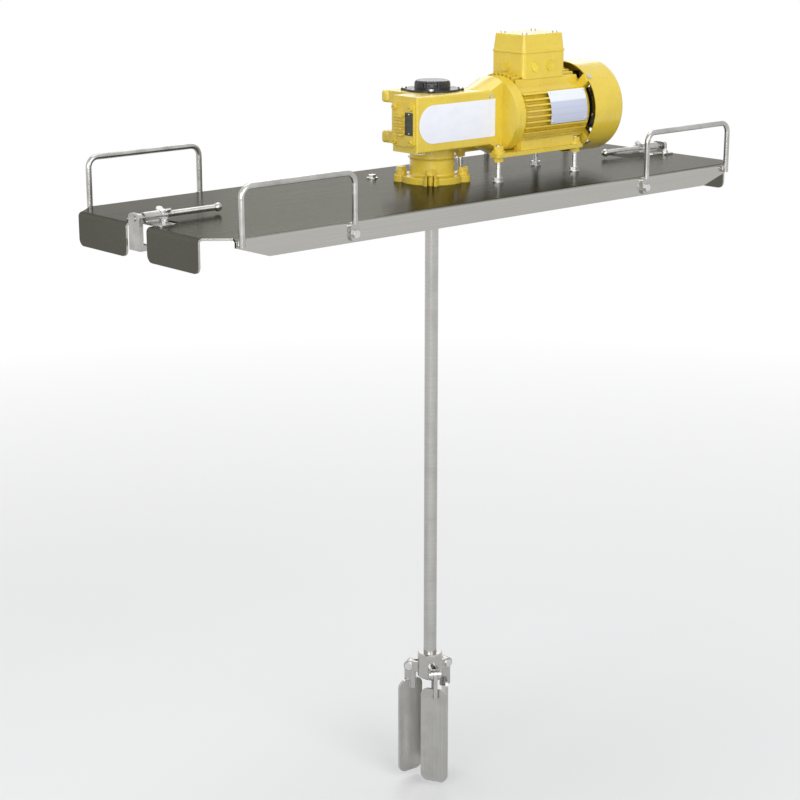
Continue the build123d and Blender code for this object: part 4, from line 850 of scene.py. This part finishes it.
def seen_directly(tree):
    """1 for camera, glossy and transmission rays."""
    ray = add(tree, "ShaderNodeLightPath")
    either = arithmetic(tree, "MAXIMUM", ray.outputs["Is Camera Ray"], ray.outputs["Is Glossy Ray"])
    return arithmetic(tree, "MAXIMUM", either, ray.outputs["Is Transmission Ray"])


class AGITATOR_OT_stage(bpy.types.Operator):
    """Floor, surround, lamps and camera"""
    bl_idname = "agitator.stage"
    bl_label = "Stage"

    def execute(self, context):
        scene, stage = context.scene, context.scene.agitator_stage
        scene.view_settings.view_transform = "Standard"
        self.lay_floor(stage)
        self.light_surround(scene, stage)
        for name, place, aim, size, watts in LAMPS:
            lamp(name, place, aim, size, watts)
        camera = bpy.data.objects.new("camera", bpy.data.cameras.new("camera"))
        camera.data.lens = stage.camera_lens
        camera.location = stage.camera_place
        aim = Vector(stage.camera_aim) - Vector(stage.camera_place)
        camera.rotation_euler = aim.to_track_quat("-Z", "Y").to_euler()
        scene.collection.objects.link(camera)
        scene.camera = camera
        return {"FINISHED"}

    def lay_floor(self, stage):
        """Flat disc under the blades: pale near the object and white where only the camera sees it."""
        columns = 96
        t = np.linspace(0, TAU, columns, endpoint=False)
        r = np.array([0.02, 0.5, 1.2, 2.5, 5.0, stage.floor_radius])[::-1]
        level = cad_low.z - stage.floor_gap
        grid = np.stack([r[:, None] * np.cos(t), r[:, None] * np.sin(t),
                         np.full((len(r), columns), level)], -1)
        points, faces = patch(grid)
        mesh = bpy.data.meshes.new("floor")
        inner = (len(r) - 1) * columns
        middle = [[inner + i, inner + (i + 1) % columns, len(points)] for i in range(columns)]
        mesh.from_pydata(np.vstack([points, [[0.0, 0.0, level]]]).tolist(), [], faces + middle)
        material, tree, shader = begin("floor_pale", stage.floor, 0.75)
        place = add(tree, "ShaderNodeTexCoord")
        reach = add(tree, "ShaderNodeVectorMath", {"operation": "LENGTH"})
        tree.links.new(place.outputs["Object"], reach.inputs[0])
        fade_start, fade_end, least_white = 1.3, 3.2, 0.12
        far = ranged(tree, reach.outputs["Value"], fade_start, fade_end, least_white, 1.0)
        white = add(tree, "ShaderNodeEmission", Color=(1.0, 1.0, 1.0, 1.0), Strength=1.0)
        mix = add(tree, "ShaderNodeMixShader")
        tree.links.new(arithmetic(tree, "MULTIPLY", far, seen_directly(tree)), mix.inputs[0])
        tree.links.new(shader.outputs[0], mix.inputs[1])
        tree.links.new(white.outputs[0], mix.inputs[2])
        tree.links.new(mix.outputs[0], tree.nodes["Material Output"].inputs["Surface"])
        mesh.materials.append(material)
        shown = bpy.data.objects.new("floor", mesh)
        bpy.context.scene.collection.objects.link(shown)

    def light_surround(self, scene, stage):
        """Even light from all round, which the camera and reflections see as white."""
        world = bpy.data.worlds.new("surround")
        scene.world = world
        world.use_nodes = True
        tree = world.node_tree
        even = tree.nodes["Background"]
        even.inputs["Color"].default_value = (0.97, 0.98, 1.0, 1.0)
        even.inputs["Strength"].default_value = stage.sky
        white = add(tree, "ShaderNodeBackground", Color=(1.0, 1.0, 1.0, 1.0), Strength=1.0)
        mix = add(tree, "ShaderNodeMixShader")
        tree.links.new(seen_directly(tree), mix.inputs[0])
        tree.links.new(even.outputs[0], mix.inputs[1])
        tree.links.new(white.outputs[0], mix.inputs[2])
        tree.links.new(mix.outputs[0], tree.nodes["World Output"].inputs["Surface"])


# ---------------------------------------------------------------- panel and registration
FINISHES = (AGITATOR_OT_paint, AGITATOR_OT_sheet, AGITATOR_OT_bars, AGITATOR_OT_fasteners,
            AGITATOR_OT_mouldings, AGITATOR_OT_plates, AGITATOR_OT_inner_parts)
DETAILS = (AGITATOR_OT_stud_threads, AGITATOR_OT_rod_threads, AGITATOR_OT_handle_welds,
           AGITATOR_OT_guide_welds, AGITATOR_OT_blade_welds, AGITATOR_OT_cast_fillets,
           AGITATOR_OT_cover_rim, AGITATOR_OT_rivets)
SETTINGS = (("agitator_finish", AgitatorFinishSettings), ("agitator_detail", AgitatorDetailSettings),
            ("agitator_stage", AgitatorStageSettings))


class AGITATOR_PT_panel(bpy.types.Panel):
    """Lists the dressing's operators and settings"""
    bl_idname = "AGITATOR_PT_panel"
    bl_label = "Tank Agitator"
    bl_space_type = "VIEW_3D"
    bl_region_type = "UI"
    bl_category = "Agitator"

    def draw(self, context):
        for title, operators, settings in (("Finishes", FINISHES, context.scene.agitator_finish),
                                           ("Details", DETAILS, context.scene.agitator_detail),
                                           ("Stage", (AGITATOR_OT_stage,), context.scene.agitator_stage)):
            box = self.layout.box()
            box.label(text=title)
            for name in settings.__annotations__:
                box.prop(settings, name)
            for operator in operators:
                box.operator(operator.bl_idname)


CLASSES = (*(group for _, group in SETTINGS), *FINISHES, *DETAILS, AGITATOR_OT_stage, AGITATOR_PT_panel)


def register():
    """Registers the classes and hangs the settings on the scene."""
    for cls in CLASSES:
        bpy.utils.register_class(cls)
    for name, group in SETTINGS:
        setattr(bpy.types.Scene, name, bpy.props.PointerProperty(type=group))


def unregister():
    """Takes the settings and the classes away again."""
    for name, _ in SETTINGS:
        delattr(bpy.types.Scene, name)
    for cls in reversed(CLASSES):
        bpy.utils.unregister_class(cls)


def main():
    """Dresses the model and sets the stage."""
    register()
    for operator in (*FINISHES, *DETAILS, AGITATOR_OT_stage):
        group, name = operator.bl_idname.split(".")
        getattr(getattr(bpy.ops, group), name)()


if __name__ == "__main__":
    main()
